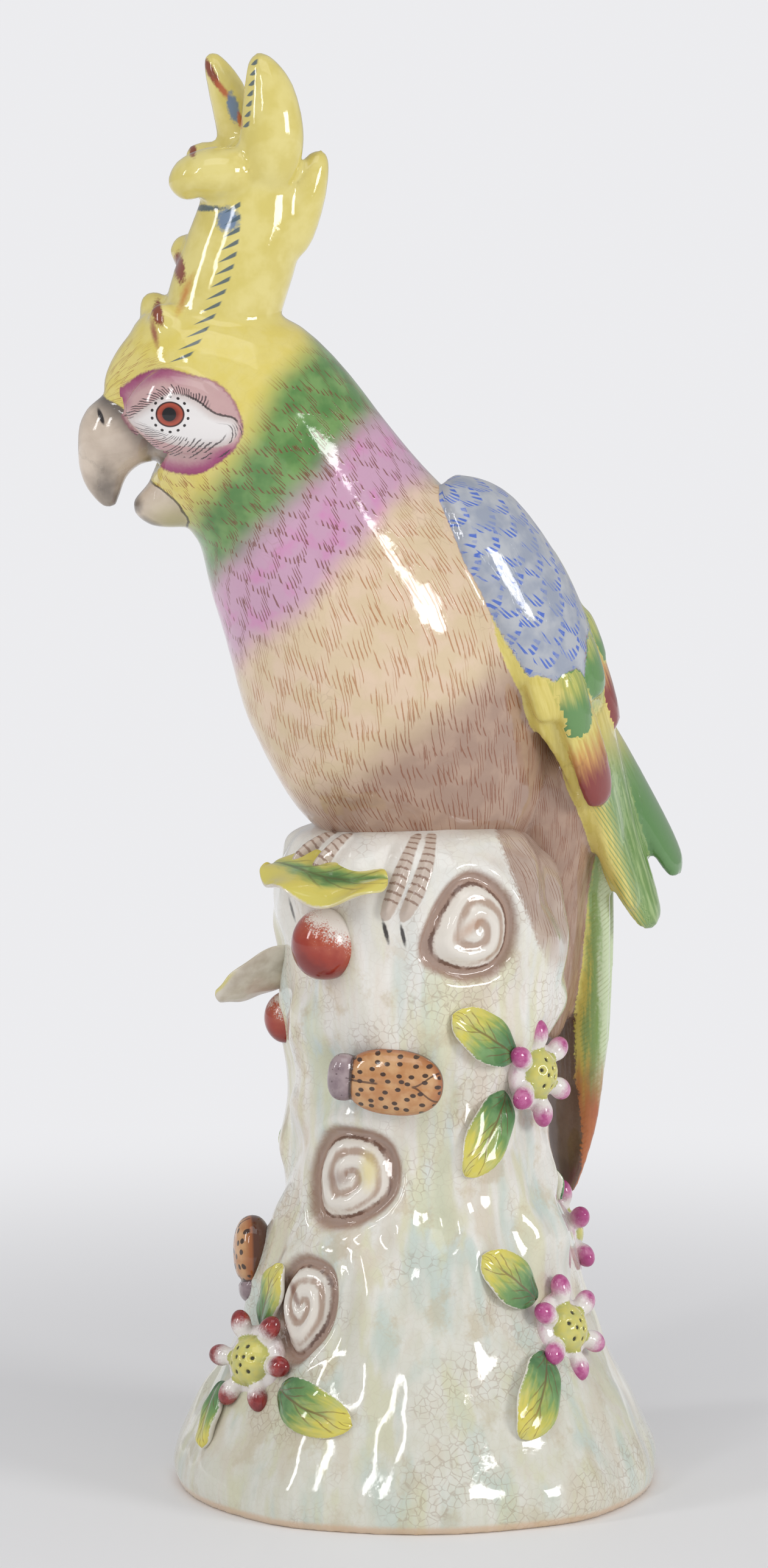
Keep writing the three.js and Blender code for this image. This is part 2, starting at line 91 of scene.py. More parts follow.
# The photograph's view, worked out from the foot's ellipse and the figure's height
LENS = 126.5
CAMERA_PLACE = Vector((-7.6, -1300, 307.7))
CAMERA_DIP = 6.13

# The pale surround, how much of it lights the glaze, and where, in metres, the floor fades into it
SURROUND = (0.84, 0.84, 0.86)
ROOM_LIGHT = 0.54
FLOOR_COLOUR = (0.95, 0.95, 0.96, 1)
FLOOR_FADE = (0.16, 0.512)
LAMP_AIM = Vector((0, 0, 0.17))

UP = Vector((0, 0, 1))
TOWARD_VIEWER = Vector((0, -1, 0))


def heading(degrees):
    """A level direction, that many degrees from -X towards the viewer."""
    return Vector((-math.cos(math.radians(degrees)), -math.sin(math.radians(degrees)), 0))


FORWARD = heading(BODY_HEADING)
BACKWARD = -FORWARD
LEFTWARD = Vector((-FORWARD.y, FORWARD.x, 0))


# Camera, floor and light


def add_object(name, data):
    holder = bpy.data.objects.new(name, data)
    bpy.context.scene.collection.objects.link(holder)
    return holder


def make_camera():
    """Looks at the figure as the photograph does."""
    camera = bpy.data.cameras.new("photo_view")
    camera.sensor_width = 36
    camera.lens = LENS
    camera.clip_start = 0.05
    camera.clip_end = 60
    holder = add_object("photo_view", camera)
    holder.location = CAMERA_PLACE * MM
    holder.rotation_euler = (math.radians(90 - CAMERA_DIP), 0, 0)
    bpy.context.scene.camera = holder


def make_softbox(name, azimuth, elevation, distance, width, height, watts):
    """A soft lamp aimed at the figure's middle. Azimuth 0 is behind the camera, 90 to its right."""
    lamp = bpy.data.lights.new(name, "AREA")
    lamp.shape = "RECTANGLE"
    lamp.size = width
    lamp.size_y = height
    lamp.energy = watts
    holder = add_object(name, lamp)
    level = math.cos(math.radians(elevation))
    away = Vector((
        math.sin(math.radians(azimuth)) * level,
        -math.cos(math.radians(azimuth)) * level,
        math.sin(math.radians(elevation)),
    ))
    holder.location = LAMP_AIM + away * distance
    holder.rotation_euler = away.to_track_quat("Z", "Y").to_euler()


def make_stage():
    """A pale floor that fades into a surround that looks pale but lights the glaze only softly."""
    bpy.ops.mesh.primitive_circle_add(vertices=96, radius=5, fill_type="NGON")
    floor = bpy.context.object
    floor.name = "pale_floor"
    material = bpy.data.materials.new("pale floor")
    material.use_nodes = True
    paint = Paint(material.node_tree)
    far = paint.between(paint.length(paint.coordinates()), *FLOOR_FADE)
    shader = material.node_tree.nodes["Principled BSDF"]
    shader.inputs["Base Color"].default_value = FLOOR_COLOUR
    shader.inputs["Roughness"].default_value = 0.6
    glow = paint.node("ShaderNodeEmission")
    glow.inputs["Color"].default_value = (*SURROUND, 1)
    blend = paint.node("ShaderNodeMixShader")
    paint.plug(blend.inputs[0], far)
    paint.plug(blend.inputs[1], shader.outputs[0])
    paint.plug(blend.inputs[2], glow.outputs[0])
    paint.plug(material.node_tree.nodes["Material Output"].inputs[0], blend.outputs[0])
    floor.data.materials.append(material)
    world = bpy.data.worlds.new("pale surround")
    world.use_nodes = True
    paint = Paint(world.node_tree)
    seen = paint.node("ShaderNodeLightPath").outputs["Is Camera Ray"]
    backdrop = world.node_tree.nodes["Background"]
    backdrop.inputs["Color"].default_value = (*SURROUND, 1)
    paint.plug(backdrop.inputs["Strength"], paint.between(seen, 0, 1, ROOM_LIGHT))
    bpy.context.scene.world = world
    bpy.context.scene.view_settings.view_transform = "Standard"


# Node helpers, each of which adds one step to a material's or a group's nodes


class Reading:
    """A number, place or colour on its way through a material's nodes, open to plain arithmetic."""

    def __init__(self, paint, socket):
        self.paint = paint
        self.socket = socket

    def __add__(self, other):
        return self.paint.calculate("ADD", self, other)

    def __radd__(self, other):
        return self.paint.calculate("ADD", other, self)

    def __sub__(self, other):
        return self.paint.calculate("SUBTRACT", self, other)

    def __rsub__(self, other):
        return self.paint.calculate("SUBTRACT", other, self)

    def __mul__(self, other):
        return self.paint.calculate("MULTIPLY", self, other)

    def __truediv__(self, other):
        return self.paint.calculate("DIVIDE", self, other)

    def __rtruediv__(self, other):
        return self.paint.calculate("DIVIDE", other, self)

    def __abs__(self):
        return self.paint.calculate("ABSOLUTE", self)


class Paint:
    """Adds steps to the nodes of a material, a world or an effect. What a step gives is a Reading."""

    def __init__(self, tree):
        self.tree = tree

    def node(self, kind, **settings):
        made = self.tree.nodes.new(kind)
        for key, value in settings.items():
            setattr(made, key, value)
        return made

    def plug(self, socket, value):
        if isinstance(value, Reading):
            value = value.socket
        if isinstance(value, bpy.types.NodeSocket):
            self.tree.links.new(value, socket)
        elif isinstance(value, (tuple, list)) and len(value) == 3 and socket.type == "RGBA":
            socket.default_value = (*value, 1)
        else:
            socket.default_value = value

    def step(self, kind, given, output=0, **settings):
        """Adds a node, plugs in what it is given by name or number, and reads one of its outputs."""
        made = self.node(kind, **settings)
        for key, value in given.items():
            self.plug(made.inputs[key], value)
        return Reading(self, made.outputs[output])

    def calculate(self, operation, *values):
        return self.step("ShaderNodeMath", dict(enumerate(values)), operation=operation)

    def most(self, a, b):
        return self.calculate("MAXIMUM", a, b)

    def whole(self, a):
        return self.calculate("FLOOR", a)

    def rest(self, a):
        return self.calculate("FRACT", a)

    def off_lane(self, a):
        """How far a value is from the middle of its lane, where each whole number starts a lane."""
        return abs(self.rest(a) - 0.5)

    def between(self, value, low, high, start=0, end=1):
        """A smooth step from start to end as value goes from low to high."""
        given = dict(enumerate((value, low, high, start, end)))
        return self.step("ShaderNodeMapRange", given, interpolation_type="SMOOTHSTEP")

    def mix(self, share, a, b):
        """A colour from a to b. The node's inputs 6 and 7 and its output 2 are the ones for colours."""
        return self.step("ShaderNodeMix", {0: share, 6: a, 7: b}, 2, data_type="RGBA")

    def fade(self, value, low, high, a, b):
        """A colour that goes from a to b as value goes from low to high."""
        return self.mix(self.between(value, low, high), a, b)

    def lay(self, under, *coats):
        """Coats of paint over a colour, each as how much of it covers and its colour."""
        for cover, colour in coats:
            under = self.mix(cover, under, colour)
        return under

    def split(self, vector):
        made = self.node("ShaderNodeSeparateXYZ")
        self.plug(made.inputs[0], vector)
        return [Reading(self, output) for output in made.outputs]

    def vector(self, x, y, z):
        return self.step("ShaderNodeCombineXYZ", {0: x, 1: y, 2: z})

    def length(self, vector):
        return self.step("ShaderNodeVectorMath", {0: vector}, "Value", operation="LENGTH")

    def oval(self, along, up, half):
        """How far out a place lies in an oval with those half sizes: 0 in its middle, 1 on its rim."""
        return self.length(self.vector(along / half[0], up / half[1], 0))

    def scaled(self, vector, factor):
        return self.step("ShaderNodeVectorMath", {0: vector, "Scale": factor}, operation="SCALE")

    def coordinates(self):
        return self.step("ShaderNodeTexCoord", {}, "Object")

    def millimetres(self):
        """The place on the object, in millimetres."""
        return self.scaled(self.coordinates(), 1 / MM)

    def attribute(self, name, output="Fac"):
        return self.step("ShaderNodeAttribute", {}, output, attribute_name=name)

    def noted(self, name):
        """The three numbers of a vector that each vertex notes."""
        return self.split(self.attribute(name, "Vector"))

    def noise(self, vector, scale, detail=2, rough=0.5):
        given = {"Vector": vector, "Scale": scale, "Detail": detail, "Roughness": rough}
        return self.step("ShaderNodeTexNoise", given, "Fac")

    def cloud(self, vector, scale, detail=2):
        """Soft noise between about -0.5 and 0.5."""
        return self.noise(vector, scale, detail) - 0.5

    def chance(self, vector):
        """A different number from 0 to 1 for each whole-number place."""
        return self.step("ShaderNodeTexWhiteNoise", {"Vector": vector}, "Value", noise_dimensions="3D")

    def cells(self, vector, scale, feature="F1", dimensions="3D", loose=1):
        given = {"Vector": vector, "Scale": scale, "Randomness": loose}
        return self.step(
            "ShaderNodeTexVoronoi", given, "Distance", feature=feature, voronoi_dimensions=dimensions,
        )

    def effect(self, tree, **values):
        """A shared effect in this material, with underscores for the spaces in its inputs' names.

        It gives the effect's one reading, or all of them as a list.
        """
        made = self.node("ShaderNodeGroup", node_tree=tree)
        for label, value in values.items():
            self.plug(made.inputs[label.replace("_", " ")], value)
        found = [Reading(self, output) for output in made.outputs]
        return found[0] if len(found) == 1 else found


# Paint effects that several materials share


def tint(red, green, blue):
    """A paint colour given as 0 to 255 on a screen, turned into what a shader expects."""
    shares = (channel / 255 for channel in (red, green, blue))
    return tuple(s / 12.92 if s < 0.04 else ((s + 0.055) / 1.055) ** 2.4 for s in shares)


def begin_effect(name, outputs, **inputs):
    """An empty node group and the means to fill it. An input whose value is None is a place."""
    tree = bpy.data.node_groups.new(name, "ShaderNodeTree")
    for label, value in inputs.items():
        kind = "NodeSocketVector" if value is None else "NodeSocketFloat"
        socket = tree.interface.new_socket(label.replace("_", " "), in_out="INPUT", socket_type=kind)
        if value is not None:
            socket.default_value = value
    for label in outputs:
        tree.interface.new_socket(label, in_out="OUTPUT", socket_type="NodeSocketFloat")
    paint = Paint(tree)
    given = {socket.name: Reading(paint, socket) for socket in paint.node("NodeGroupInput").outputs}
    return tree, paint, given, paint.node("NodeGroupOutput").inputs


def make_feather_strokes():
    """Brush strokes hung in rows of arcs, one row in two. A second, shifted use fills the others."""
    tree, paint, given, result = begin_effect(
        "feather strokes", ["Mask"], Round=None, Arcs=22, Row=11, Sag=3, Length=1.6, Strokes=10,
        Thickness=0.26, Slant=0.2, Fan=0, Shift=0,
    )
    turn_x, turn_y, along = paint.split(given["Round"])
    turn = paint.calculate("ARCTAN2", turn_y, turn_x) / (2 * math.pi)
    column = turn * given["Arcs"] + given["Shift"]
    arc = paint.whole(column)
    across = paint.rest(column) - 0.5
    bow = across * across * 4 * given["Sag"]
    nudge = paint.chance(paint.vector(arc, given["Shift"], 3))
    height = along - bow + nudge * 2.2
    level = height / given["Row"] + given["Shift"]
    row = paint.whole(level)
    up = paint.rest(level) * given["Row"]
    spread = 1 + given["Fan"] * up * 0.16
    lane = across / spread * given["Strokes"] + up * given["Slant"]
    stroke = paint.whole(lane)
    place = paint.vector(arc * 31 + stroke, row, given["Shift"])
    luck = paint.chance(place)
    other_luck = paint.chance(paint.scaled(place, 1.7))
    long = given["Length"] * (0.55 + luck * 0.7)
    start = 0.4 + other_luck * 0.7
    share = (up - start) / long
    within = paint.between(share, -0.05, 0.12) * paint.between(share, 1, 0.7)
    off = abs(paint.rest(lane) - (0.42 + other_luck * 0.16))
    thick = given["Thickness"] * (0.6 - share * 0.28)
    line = paint.between(off, thick + 0.07, thick - 0.03)
    strength = paint.between(luck, 0.04, 0.3, 0, 1)
    paint.plug(result["Mask"], within * line * strength)
    return tree


def make_crackle():
    """Fine hairlines in the glaze, strong in patches and faint between them."""
    tree, paint, given, result = begin_effect(
        "crackle", ["Mask"], Place=None, Cell=2.6, Thickness=0.05, Patches=0.5,
    )
    warp = paint.noise(given["Place"], 0.4, 2)
    warped = {0: given["Place"], 1: paint.vector(warp, warp, warp)}
    bent = paint.step("ShaderNodeVectorMath", warped, operation="ADD")
    edge = paint.cells(bent, 1 / given["Cell"], "DISTANCE_TO_EDGE")
    line = paint.between(edge, given["Thickness"], 0)
    worn = paint.noise(given["Place"], 0.9, 2)
    patch = paint.noise(given["Place"], 0.055, 2)
    share = paint.between(patch, given["Patches"], given["Patches"] + 0.14, 0.16, 1)
    paint.plug(result["Mask"], line * share * paint.between(worn, 0.3, 0.55, 0.35, 1))
    return tree


def make_glaze_skin():
    """How a thick glaze lies: slow ripples, a few pinholes and a roughness that hardly varies."""
    tree, paint, given, result = begin_effect(
        "glaze skin", ["Height", "Roughness"], Place=None, Enamel=0,
    )
    ripple = paint.noise(given["Place"], 0.16, 3, 0.45)
    peel = paint.noise(given["Place"], 0.75, 2)
    hole = paint.between(paint.cells(given["Place"], 0.16), 0.05, 0.02)
    height = ripple + peel * 0.14 - hole * 0.25
    paint.plug(result["Height"], height + given["Enamel"] * 0.14)
    rough = paint.between(paint.noise(given["Place"], 0.5, 3), 0.3, 0.7, 0.05, 0.1)
    paint.plug(result["Roughness"], rough + given["Enamel"] * 0.05)
    return tree


def make_veins():
    """Brown brush lines that branch from a leaf's midrib, on place across and along the blade."""
    tree, paint, given, result = begin_effect("leaf veins", ["Mask"], Across=0, Along=0, Seed=0)
    side = abs(given["Across"])
    drift = paint.cloud(paint.vector(given["Across"], given["Along"], given["Seed"]), 3) * 0.22
    rib = paint.between(side + abs(drift), 0.085, 0.03) * paint.between(given["Along"], 0.82, 0.62)
    which_side = paint.calculate("SIGN", given["Across"])
    lane = given["Along"] * 6.5 - paint.calculate("POWER", side, 0.8) * 2.6 + drift * 3 + which_side * 0.2
    luck = paint.chance(paint.vector(paint.whole(lane), which_side, given["Seed"]))
    off = paint.off_lane(lane)
    reach = 0.45 + luck * 0.45
    branch = paint.between(off, 0.13, 0.05) * paint.between(side, reach, reach - 0.25)
    branch = branch * paint.between(luck, 0.08, 0.25)
    paint.plug(result["Mask"], paint.most(rib, branch * 0.8))
    return tree


def make_blot():
    """A blot of paint with a soft, uneven edge, on place, centre and half sizes in millimetres."""
    tree, paint, given, result = begin_effect(
        "blot", ["Mask"], X=0, Z=0, Middle_X=0, Middle_Z=0, Half_X=1, Half_Z=1, Turn=0, Soft=0.4, Wander=0,
    )
    x = given["X"] - given["Middle X"]
    z = given["Z"] - given["Middle Z"]
    cosine = paint.calculate("COSINE", given["Turn"])
    sine = paint.calculate("SINE", given["Turn"])
    along = x * cosine + z * sine
    across = z * cosine - x * sine
    away = paint.oval(along, across, (given["Half X"], given["Half Z"])) + given["Wander"]
    paint.plug(result["Mask"], paint.between(away, 1 + given["Soft"], 1 - given["Soft"]))
    return tree


FEATHER_STROKES = make_feather_strokes()
CRACKLE = make_crackle()
GLAZE_SKIN = make_glaze_skin()
LEAF_VEINS = make_veins()
BLOT = make_blot()


def hung_strokes(paint, **arcs):
    """Brush strokes in every row of arcs: the effect laid twice, the second time half an arc on."""
    return paint.most(*(paint.effect(FEATHER_STROKES, **arcs, Shift=shift) for shift in (0, 0.5)))


def blot(paint, x, z, middle, half, turn, soft, wander):
    """Where a blot covers, as its middle and half sizes in millimetres and its turn in degrees."""
    return paint.effect(
        BLOT, X=x, Z=z, Middle_X=middle[0], Middle_Z=middle[1], Half_X=half[0], Half_Z=half[1],
        Turn=math.radians(turn), Soft=soft, Wander=wander,
    )


RIPPLE_HEIGHT = 0.11 * MM


def glaze_material(name, decorate):
    """A glossy glazed material. `decorate` gives its colour and how thickly enamel lies on it."""
    material = bpy.data.materials.new(name)
    material.use_nodes = True
    paint = Paint(material.node_tree)
    shader = material.node_tree.nodes["Principled BSDF"]
    colour, enamel = decorate(paint)
    height, roughness = paint.effect(GLAZE_SKIN, Place=paint.millimetres(), Enamel=enamel)
    bump = paint.node("ShaderNodeBump")
    bump.inputs["Strength"].default_value = 1
    bump.inputs["Distance"].default_value = RIPPLE_HEIGHT
    paint.plug(bump.inputs["Height"], height)
    paint.plug(shader.inputs["Normal"], bump.outputs[0])
    paint.plug(shader.inputs["Roughness"], roughness)
    paint.plug(shader.inputs["Base Color"], colour)
    shader.inputs["IOR"].default_value = 1.52
    shader.inputs["Coat Weight"].default_value = 0.35
    shader.inputs["Coat Roughness"].default_value = 0.03
    return material


# Mesh helpers


def deselect():
    if bpy.context.mode != "OBJECT":
        bpy.ops.object.mode_set(mode="OBJECT")
    bpy.ops.object.select_all(action="DESELECT")


def take_up(piece):
    """Makes a piece the only selected one, ready for an operator."""
    deselect()
    piece.select_set(True)
    bpy.context.view_layer.objects.active = piece


def face_outwards(piece):
    """Turns a closed piece's faces outwards."""
    take_up(piece)
    bpy.ops.object.mode_set(mode="EDIT")
    bpy.ops.mesh.select_all(action="SELECT")
    bpy.ops.mesh.normals_make_consistent(inside=False)
    bpy.ops.object.mode_set(mode="OBJECT")


def apply_modifier(piece, name, kind, **settings):
    """Gives a piece a modifier with its settings and applies it."""
    modifier = piece.modifiers.new(name, kind)
    for key, value in settings.items():
        setattr(modifier, key, value)
    take_up(piece)
    bpy.ops.object.modifier_apply(modifier=name)


def make_each(kind, make, rows):
    """One piece for each row of a table, named by its kind and number."""
    return [make(f"{kind}_{i}", *row) for i, row in enumerate(rows)]


def coordinates_of(mesh):
    flat = np.empty(len(mesh.vertices) * 3, np.float32)
    mesh.vertices.foreach_get("co", flat)
    return flat.reshape(-1, 3).astype(float)


def place_vertices(mesh, places):
    mesh.vertices.foreach_set("co", np.asarray(places, np.float32).ravel())
    mesh.update()


def note(mesh, name, values):
    """Stores one number or one vector for each vertex, for a material to read."""
    values = np.asarray(values, np.float32)
    kind = "FLOAT_VECTOR" if values.ndim == 2 else "FLOAT"
    layer = mesh.attributes.new(name, kind, "POINT")
    layer.data.foreach_set("vector" if values.ndim == 2 else "value", values.ravel())


def noted(mesh, name, width=1):
    flat = np.empty(len(mesh.vertices) * width, np.float32)
    mesh.attributes[name].data.foreach_get("value" if width == 1 else "vector", flat)
    return flat if width == 1 else flat.reshape(-1, width)


def smooth_step(values, low, high):
    share = np.clip((values - low) / (high - low), 0, 1)
    return share * share * (3 - 2 * share)


class Course:
    """A smooth line through points of any number of values, read from 0 at its start to 1 at its end."""

    def __init__(self, points):
        self.points = np.array([list(point) for point in points], float)

    def __call__(self, share):
        points = self.points
        last = len(points) - 1
        place = min(max(share, 0.0), 1.0) * last
        first = min(int(place), last - 1)
        weight = place - first
        b, c = points[first], points[first + 1]
        a = points[first - 1] if first > 0 else 2 * b - c
        d = points[first + 2] if first + 2 <= last else 2 * c - b
        gaps = [max(np.linalg.norm(q - p), 1e-8) ** 0.5 for p, q in ((a, b), (b, c), (c, d))]
        start = (b - a) / gaps[0] - (c - a) / (gaps[0] + gaps[1]) + (c - b) / gaps[1]
        end = (c - b) / gaps[1] - (d - b) / (gaps[1] + gaps[2]) + (d - c) / gaps[2]
        start, end = start * gaps[1], end * gaps[1]
        return (
            b + weight * start
            + weight ** 2 * (-3 * b + 3 * c - 2 * start - end)
            + weight ** 3 * (2 * b - 2 * c + start + end)
        )

    def direction(self, share):
        ahead = self(min(share + 1e-3, 1.0)) - self(max(share - 1e-3, 0.0))
        return Vector(ahead).normalized()


def ring(x, y, z, deep, wide, out=None, bend=0.0):
    """One station of a skin: its middle, half depth along `out`, half width across, and bend radius."""
    return {"at": Vector((x, y, z)), "deep": deep, "wide": wide, "out": out, "bend": bend}


def lay_skin(name, stations, out=TOWARD_VIEWER, around=20, rings=14, blunt=2.4):
    """A closed skin: circles laid along a line through the stations, bridged one to the next.

    Each vertex notes `round` (cosine and sine of its angle round the ring, and millimetres along)
    and `reach` (share along, half width there, millimetres to the far end).
    """
    line = Course([station["at"] for station in stations])
    girth = Course([(s["deep"], s["wide"], s["bend"]) for s in stations])
    facing = Course([s["out"] or out for s in stations])
    turns = np.linspace(0, 2 * math.pi, around, endpoint=False)
    rounds, reaches, shares = [], [], []
    for k in range(rings):
        t = k / (rings - 1)
        shares.append(0.5 * t + 0.25 * (1 - math.cos(math.pi * t)))
    steps = [0.0]
    for before, after in zip(shares, shares[1:]):
        steps.append(steps[-1] + float(np.linalg.norm(line(after) - line(before))))
    deselect()
    for k, share in enumerate(shares):
        cap = max(1 - abs(2 * share - 1) ** blunt, 0.0004) ** (1 / blunt)
        along = line.direction(share)
        away = Vector(facing(share))
        away = (away - along * away.dot(along)).normalized()
        side = along.cross(away)
        deep, wide, bend = girth(share)
        closed = "NGON" if k in (0, rings - 1) else "NOTHING"
        bpy.ops.mesh.primitive_circle_add(vertices=around, radius=MM, fill_type=closed)
        if k == 0:
            bpy.ops.object.mode_set(mode="EDIT")
        piece = bpy.context.object
        edited = bmesh.from_edit_mesh(piece.data)
        edited.verts.ensure_lookup_table()
        for vertex, turn in zip(edited.verts[k * around:], turns):
            u, d = wide * cap * math.sin(turn), deep * cap * math.cos(turn)
            middle = Vector(line(share))
            if bend > 0:
                wrap = u / bend
                vertex.co = middle + side * (bend + d) * math.sin(wrap)
                vertex.co += away * ((bend + d) * math.cos(wrap) - bend)
            else:
                vertex.co = middle + side * u + away * d
            vertex.co *= MM
            rounds.append((math.cos(turn), math.sin(turn), steps[k]))
            reaches.append((share, wide, steps[-1] - steps[k]))
        if k:
            low = (k - 1) * around
            edited.select_flush(False)
            for edge in edited.edges:
                first, second = edge.verts[0].index, edge.verts[1].index
                edge.select = min(first, second) >= low and first // around == second // around
            bmesh.update_edit_mesh(piece.data)
            bpy.ops.mesh.bridge_edge_loops()
        bpy.ops.mesh.select_all(action="DESELECT")
    face_outwards(piece)
    piece.name = name
    note(piece.data, "round", rounds)
    note(piece.data, "reach", reaches)
    return piece


def reflected(piece, name):
    """A copy of a skin on the bird's other side."""
    normal = LEFTWARD
    mirror = Matrix.Identity(4)
    for i in range(3):
        for j in range(3):
            mirror[i][j] -= 2 * normal[i] * normal[j]
        mirror[i][3] = 2 * normal[i] * normal.dot(BODY_MIDDLE) * MM
    twin = add_object(name, piece.data.copy())
    twin.data.transform(mirror)
    face_outwards(twin)
    return twin


class Chart:
    """Skins of one kind, kept so that a fused mesh can read how near they are and what they note."""

    def __init__(self, skins):
        self.places, self.faces = [], []
        notes = {"round": [], "reach": [], "dress": []}
        for skin in skins:
            start = len(self.places)
            self.places += [vertex.co.copy() for vertex in skin.data.vertices]
            self.faces += [[start + i for i in face.vertices] for face in skin.data.polygons]
            for key, found in notes.items():
                if key in skin.data.attributes:
                    found.append(noted(skin.data, key, 3))
                else:
                    found.append(np.zeros((len(skin.data.vertices), 3)))
        self.notes = {key: np.vstack(found) for key, found in notes.items()}
        self.tree = BVHTree.FromPolygons(self.places, self.faces)

    def read(self, points, *keys):
        """How far each point is in millimetres, up to FAR, then each note that is asked for."""
        distances = np.empty(len(points))
        found = {key: np.zeros((len(points), 3)) for key in keys}
        for i, point in enumerate(points):
            nearest, _, face, distance = self.tree.find_nearest(Vector(point), FAR * MM)
            if nearest is None:
                distances[i] = FAR
                continue
            distances[i] = distance / MM
            if keys:
                corners = self.faces[face]
                weights = poly_3d_calc([self.places[c] for c in corners], nearest)
                for key in keys:
                    found[key][i] = weights @ self.notes[key][corners]
        return (distances, *(found[key] for key in keys))


def fuse(name, skins, grain, rounds):
    """Joins skins, remeshes them with faces of one size and rounds the joints, as glaze does."""
    deselect()
    for skin in skins:
        skin.select_set(True)
    piece = skins[0]
    bpy.context.view_layer.objects.active = piece
    bpy.ops.object.join()
    piece.name = name
    piece.data.name = name
    apply_modifier(piece, "even skin", "REMESH", mode="VOXEL", voxel_size=grain, use_smooth_shade=True)
    apply_modifier(piece, "rounded joints", "SMOOTH", factor=0.5, iterations=rounds)
    return piece


# The bird's skins


def lay_trunk():
    """From the belly up through the breast and neck, then forward into the face."""
    down = Vector((0, 0, -1))
    return lay_skin("trunk", [
        ring(11, 8, 144, 22, 20, heading(35)),
        ring(8, 6, 161, 34, 28, heading(35)),
        ring(0.6, 2, 181, 38.6, 31, heading(35)),
        ring(-8, -5, 202, 38, 31.5, heading(34)),
        ring(-20, -11, 224, 31, 27.5, heading(30)),
        ring(-30, -15, 242, 26, 23.5, heading(20)),
        ring(-43, -18, 257, 26, 22.5, Vector((-0.65, -0.06, -0.75))),
        ring(-54, HEAD_Y, 264, 21.5, 20, Vector((-0.2, 0, -1))),
        ring(-63, HEAD_Y, 262.4, 16.4, 15, down),
        ring(-72, HEAD_Y, 259.4, 10.5, 9, Vector((0.2, 0, -1))),
    ], around=64, rings=56, blunt=3)


def lay_rump():
    """The mass of soft feathers that joins belly, stump and tail."""
    return lay_skin("rump", [
        ring(24, 9, 182, 20, 22), ring(29.4, 11, 160, 14.4, 16), ring(30.6, 12, 140, 10.4, 10),
        ring(32.2, 14, 120, 8, 7), ring(33, 15, 104, 5, 5),
    ], out=FORWARD, around=32, rings=20)


def lay_tail():
    """A main vane and two narrower ones that lie against its edges."""
    vanes = [
        [(37, 17, 172, 5.5, 12), (37.6, 21, 145, 5, 14.5), (37.8, 23.5, 110, 4.4, 14),
         (37.4, 24.5, 85, 3.8, 11), (37, 24.5, 64.5, 2.4, 4.5)],
        [(43, 22, 165, 2.6, 5), (44, 24.6, 135, 2.6, 6), (43.4, 26, 105, 2.4, 5.6), (42, 26.4, 82, 1.6, 3)],
        [(34, 27, 160, 2.6, 5), (33, 30, 128, 2.6, 5.4), (32.6, 30.6, 98, 2.2, 4.6),
         (33.4, 29.6, 78, 1.5, 2.6)],
    ]
    skins = []
    for i, vane in enumerate(vanes):
        stations = [ring(*station) for station in vane]
        skins.append(lay_skin(f"tail_{i}", stations, out=BACKWARD, around=28, rings=26, blunt=3.4))
    return skins


# A wing lies bent round the flank. Its middle line runs from the shoulder to the tip, as place,
# which way the wing faces there, and the radius that it is bent round.
WING_LINE = [
    ((6, -15, 240), (0.5, -0.46, 0.72), 26),
    ((18, -11, 232), (0.82, -0.4, 0.4), 29),
    ((29, -6, 217), (0.92, -0.33, 0.22), 32),
    ((36.8, -1, 200), (0.95, -0.3, 0.12), 33),
    ((42.4, 4, 183), (0.95, -0.3, 0.1), 32),
    ((46.6, 9, 166), (0.95, -0.31, 0.08), 31),
    ((51, 13.5, 148), (0.94, -0.34, 0.04), 30),
    ((57, 16.5, 131), (0.92, -0.38, 0), 30),
]
WING_BEND = 31
wing_spine = Course([at for at, _, _ in WING_LINE])
wing_facing = Course([out for _, out, _ in WING_LINE])

# Layers from the skin outwards, as place along the wing, lift, thickness and half width
FLIGHT_LAYER = [
    (0.3, -1, 3.6, 20), (0.42, -1, 4.2, 23), (0.5, -1, 4.2, 21.6), (0.58, -1, 4.1, 18),
    (0.7, -0.9, 4, 14.2), (0.85, -0.6, 3.4, 11), (1, 0, 2.6, 8),
]
COVERT_LAYER = [(0.1, 0.2, 3.6, 16), (0.3, 0.2, 4.4, 25), (0.46, 0.2, 4.2, 21.4), (0.58, 0, 3.4, 13)]
SHOULDER_LAYER = [
    (0, 0.4, 3.4, 9), (0.14, 0.8, 4.8, 16), (0.3, 1.2, 5.2, 17.4), (0.4, 1.5, 5.2, 15.2), (0.475, 1, 4.4, 12),
]
SHOULDER_LEAN = 17.5

# Feathers that stand out, as start and end along the wing and how far round it, half width,
# thickness, lift, and the share along from which the tip is green, or red when negative. PLAIN is
# past the end, for a tip that keeps its feather's colour.
PLAIN = 2
COVERTS = [
    (0.42, -15, 0.57, -16, 5, 2, 3.4, PLAIN), (0.38, -7, 0.49, -7, 5, 2.2, 3.8, 0.5),
    (0.38, 2, 0.51, 3.6, 5.4, 2.2, 4.4, 0.42), (0.42, 12, 0.55, 14.2, 5, 2.2, 4.6, 0.46),
    (0.4, 18, 0.5, 19, 4.6, 2, 2.4, PLAIN),
]
FLIGHTS = [
    (0.38, -5, 0.61, -6, 5, 2.2, 3.2, -0.5), (0.62, -14, 0.9, -7, 4, 2, 1, PLAIN),
    (0.56, 7, 0.84, 8, 5, 2, 1.4, PLAIN), (0.44, 13, 0.705, 12, 6, 2.4, 3.8, -0.6),
    (0.6, -2, 0.99, -0.5, 5.4, 2, 1.6, PLAIN), (0.6, 8, 0.94, 6, 4.4, 1.8, 1.2, PLAIN),
]
SPLAYED = [
    ring(42, 14, 186, 2.4, 6, Vector((0.95, -0.2, 0.3))),
    ring(52, 20, 166, 2.8, 7.4, Vector((0.93, -0.3, 0.3))),
    ring(64.4, 28, 143, 2.6, 7.8, Vector((0.88, -0.36, 0.35))),
]


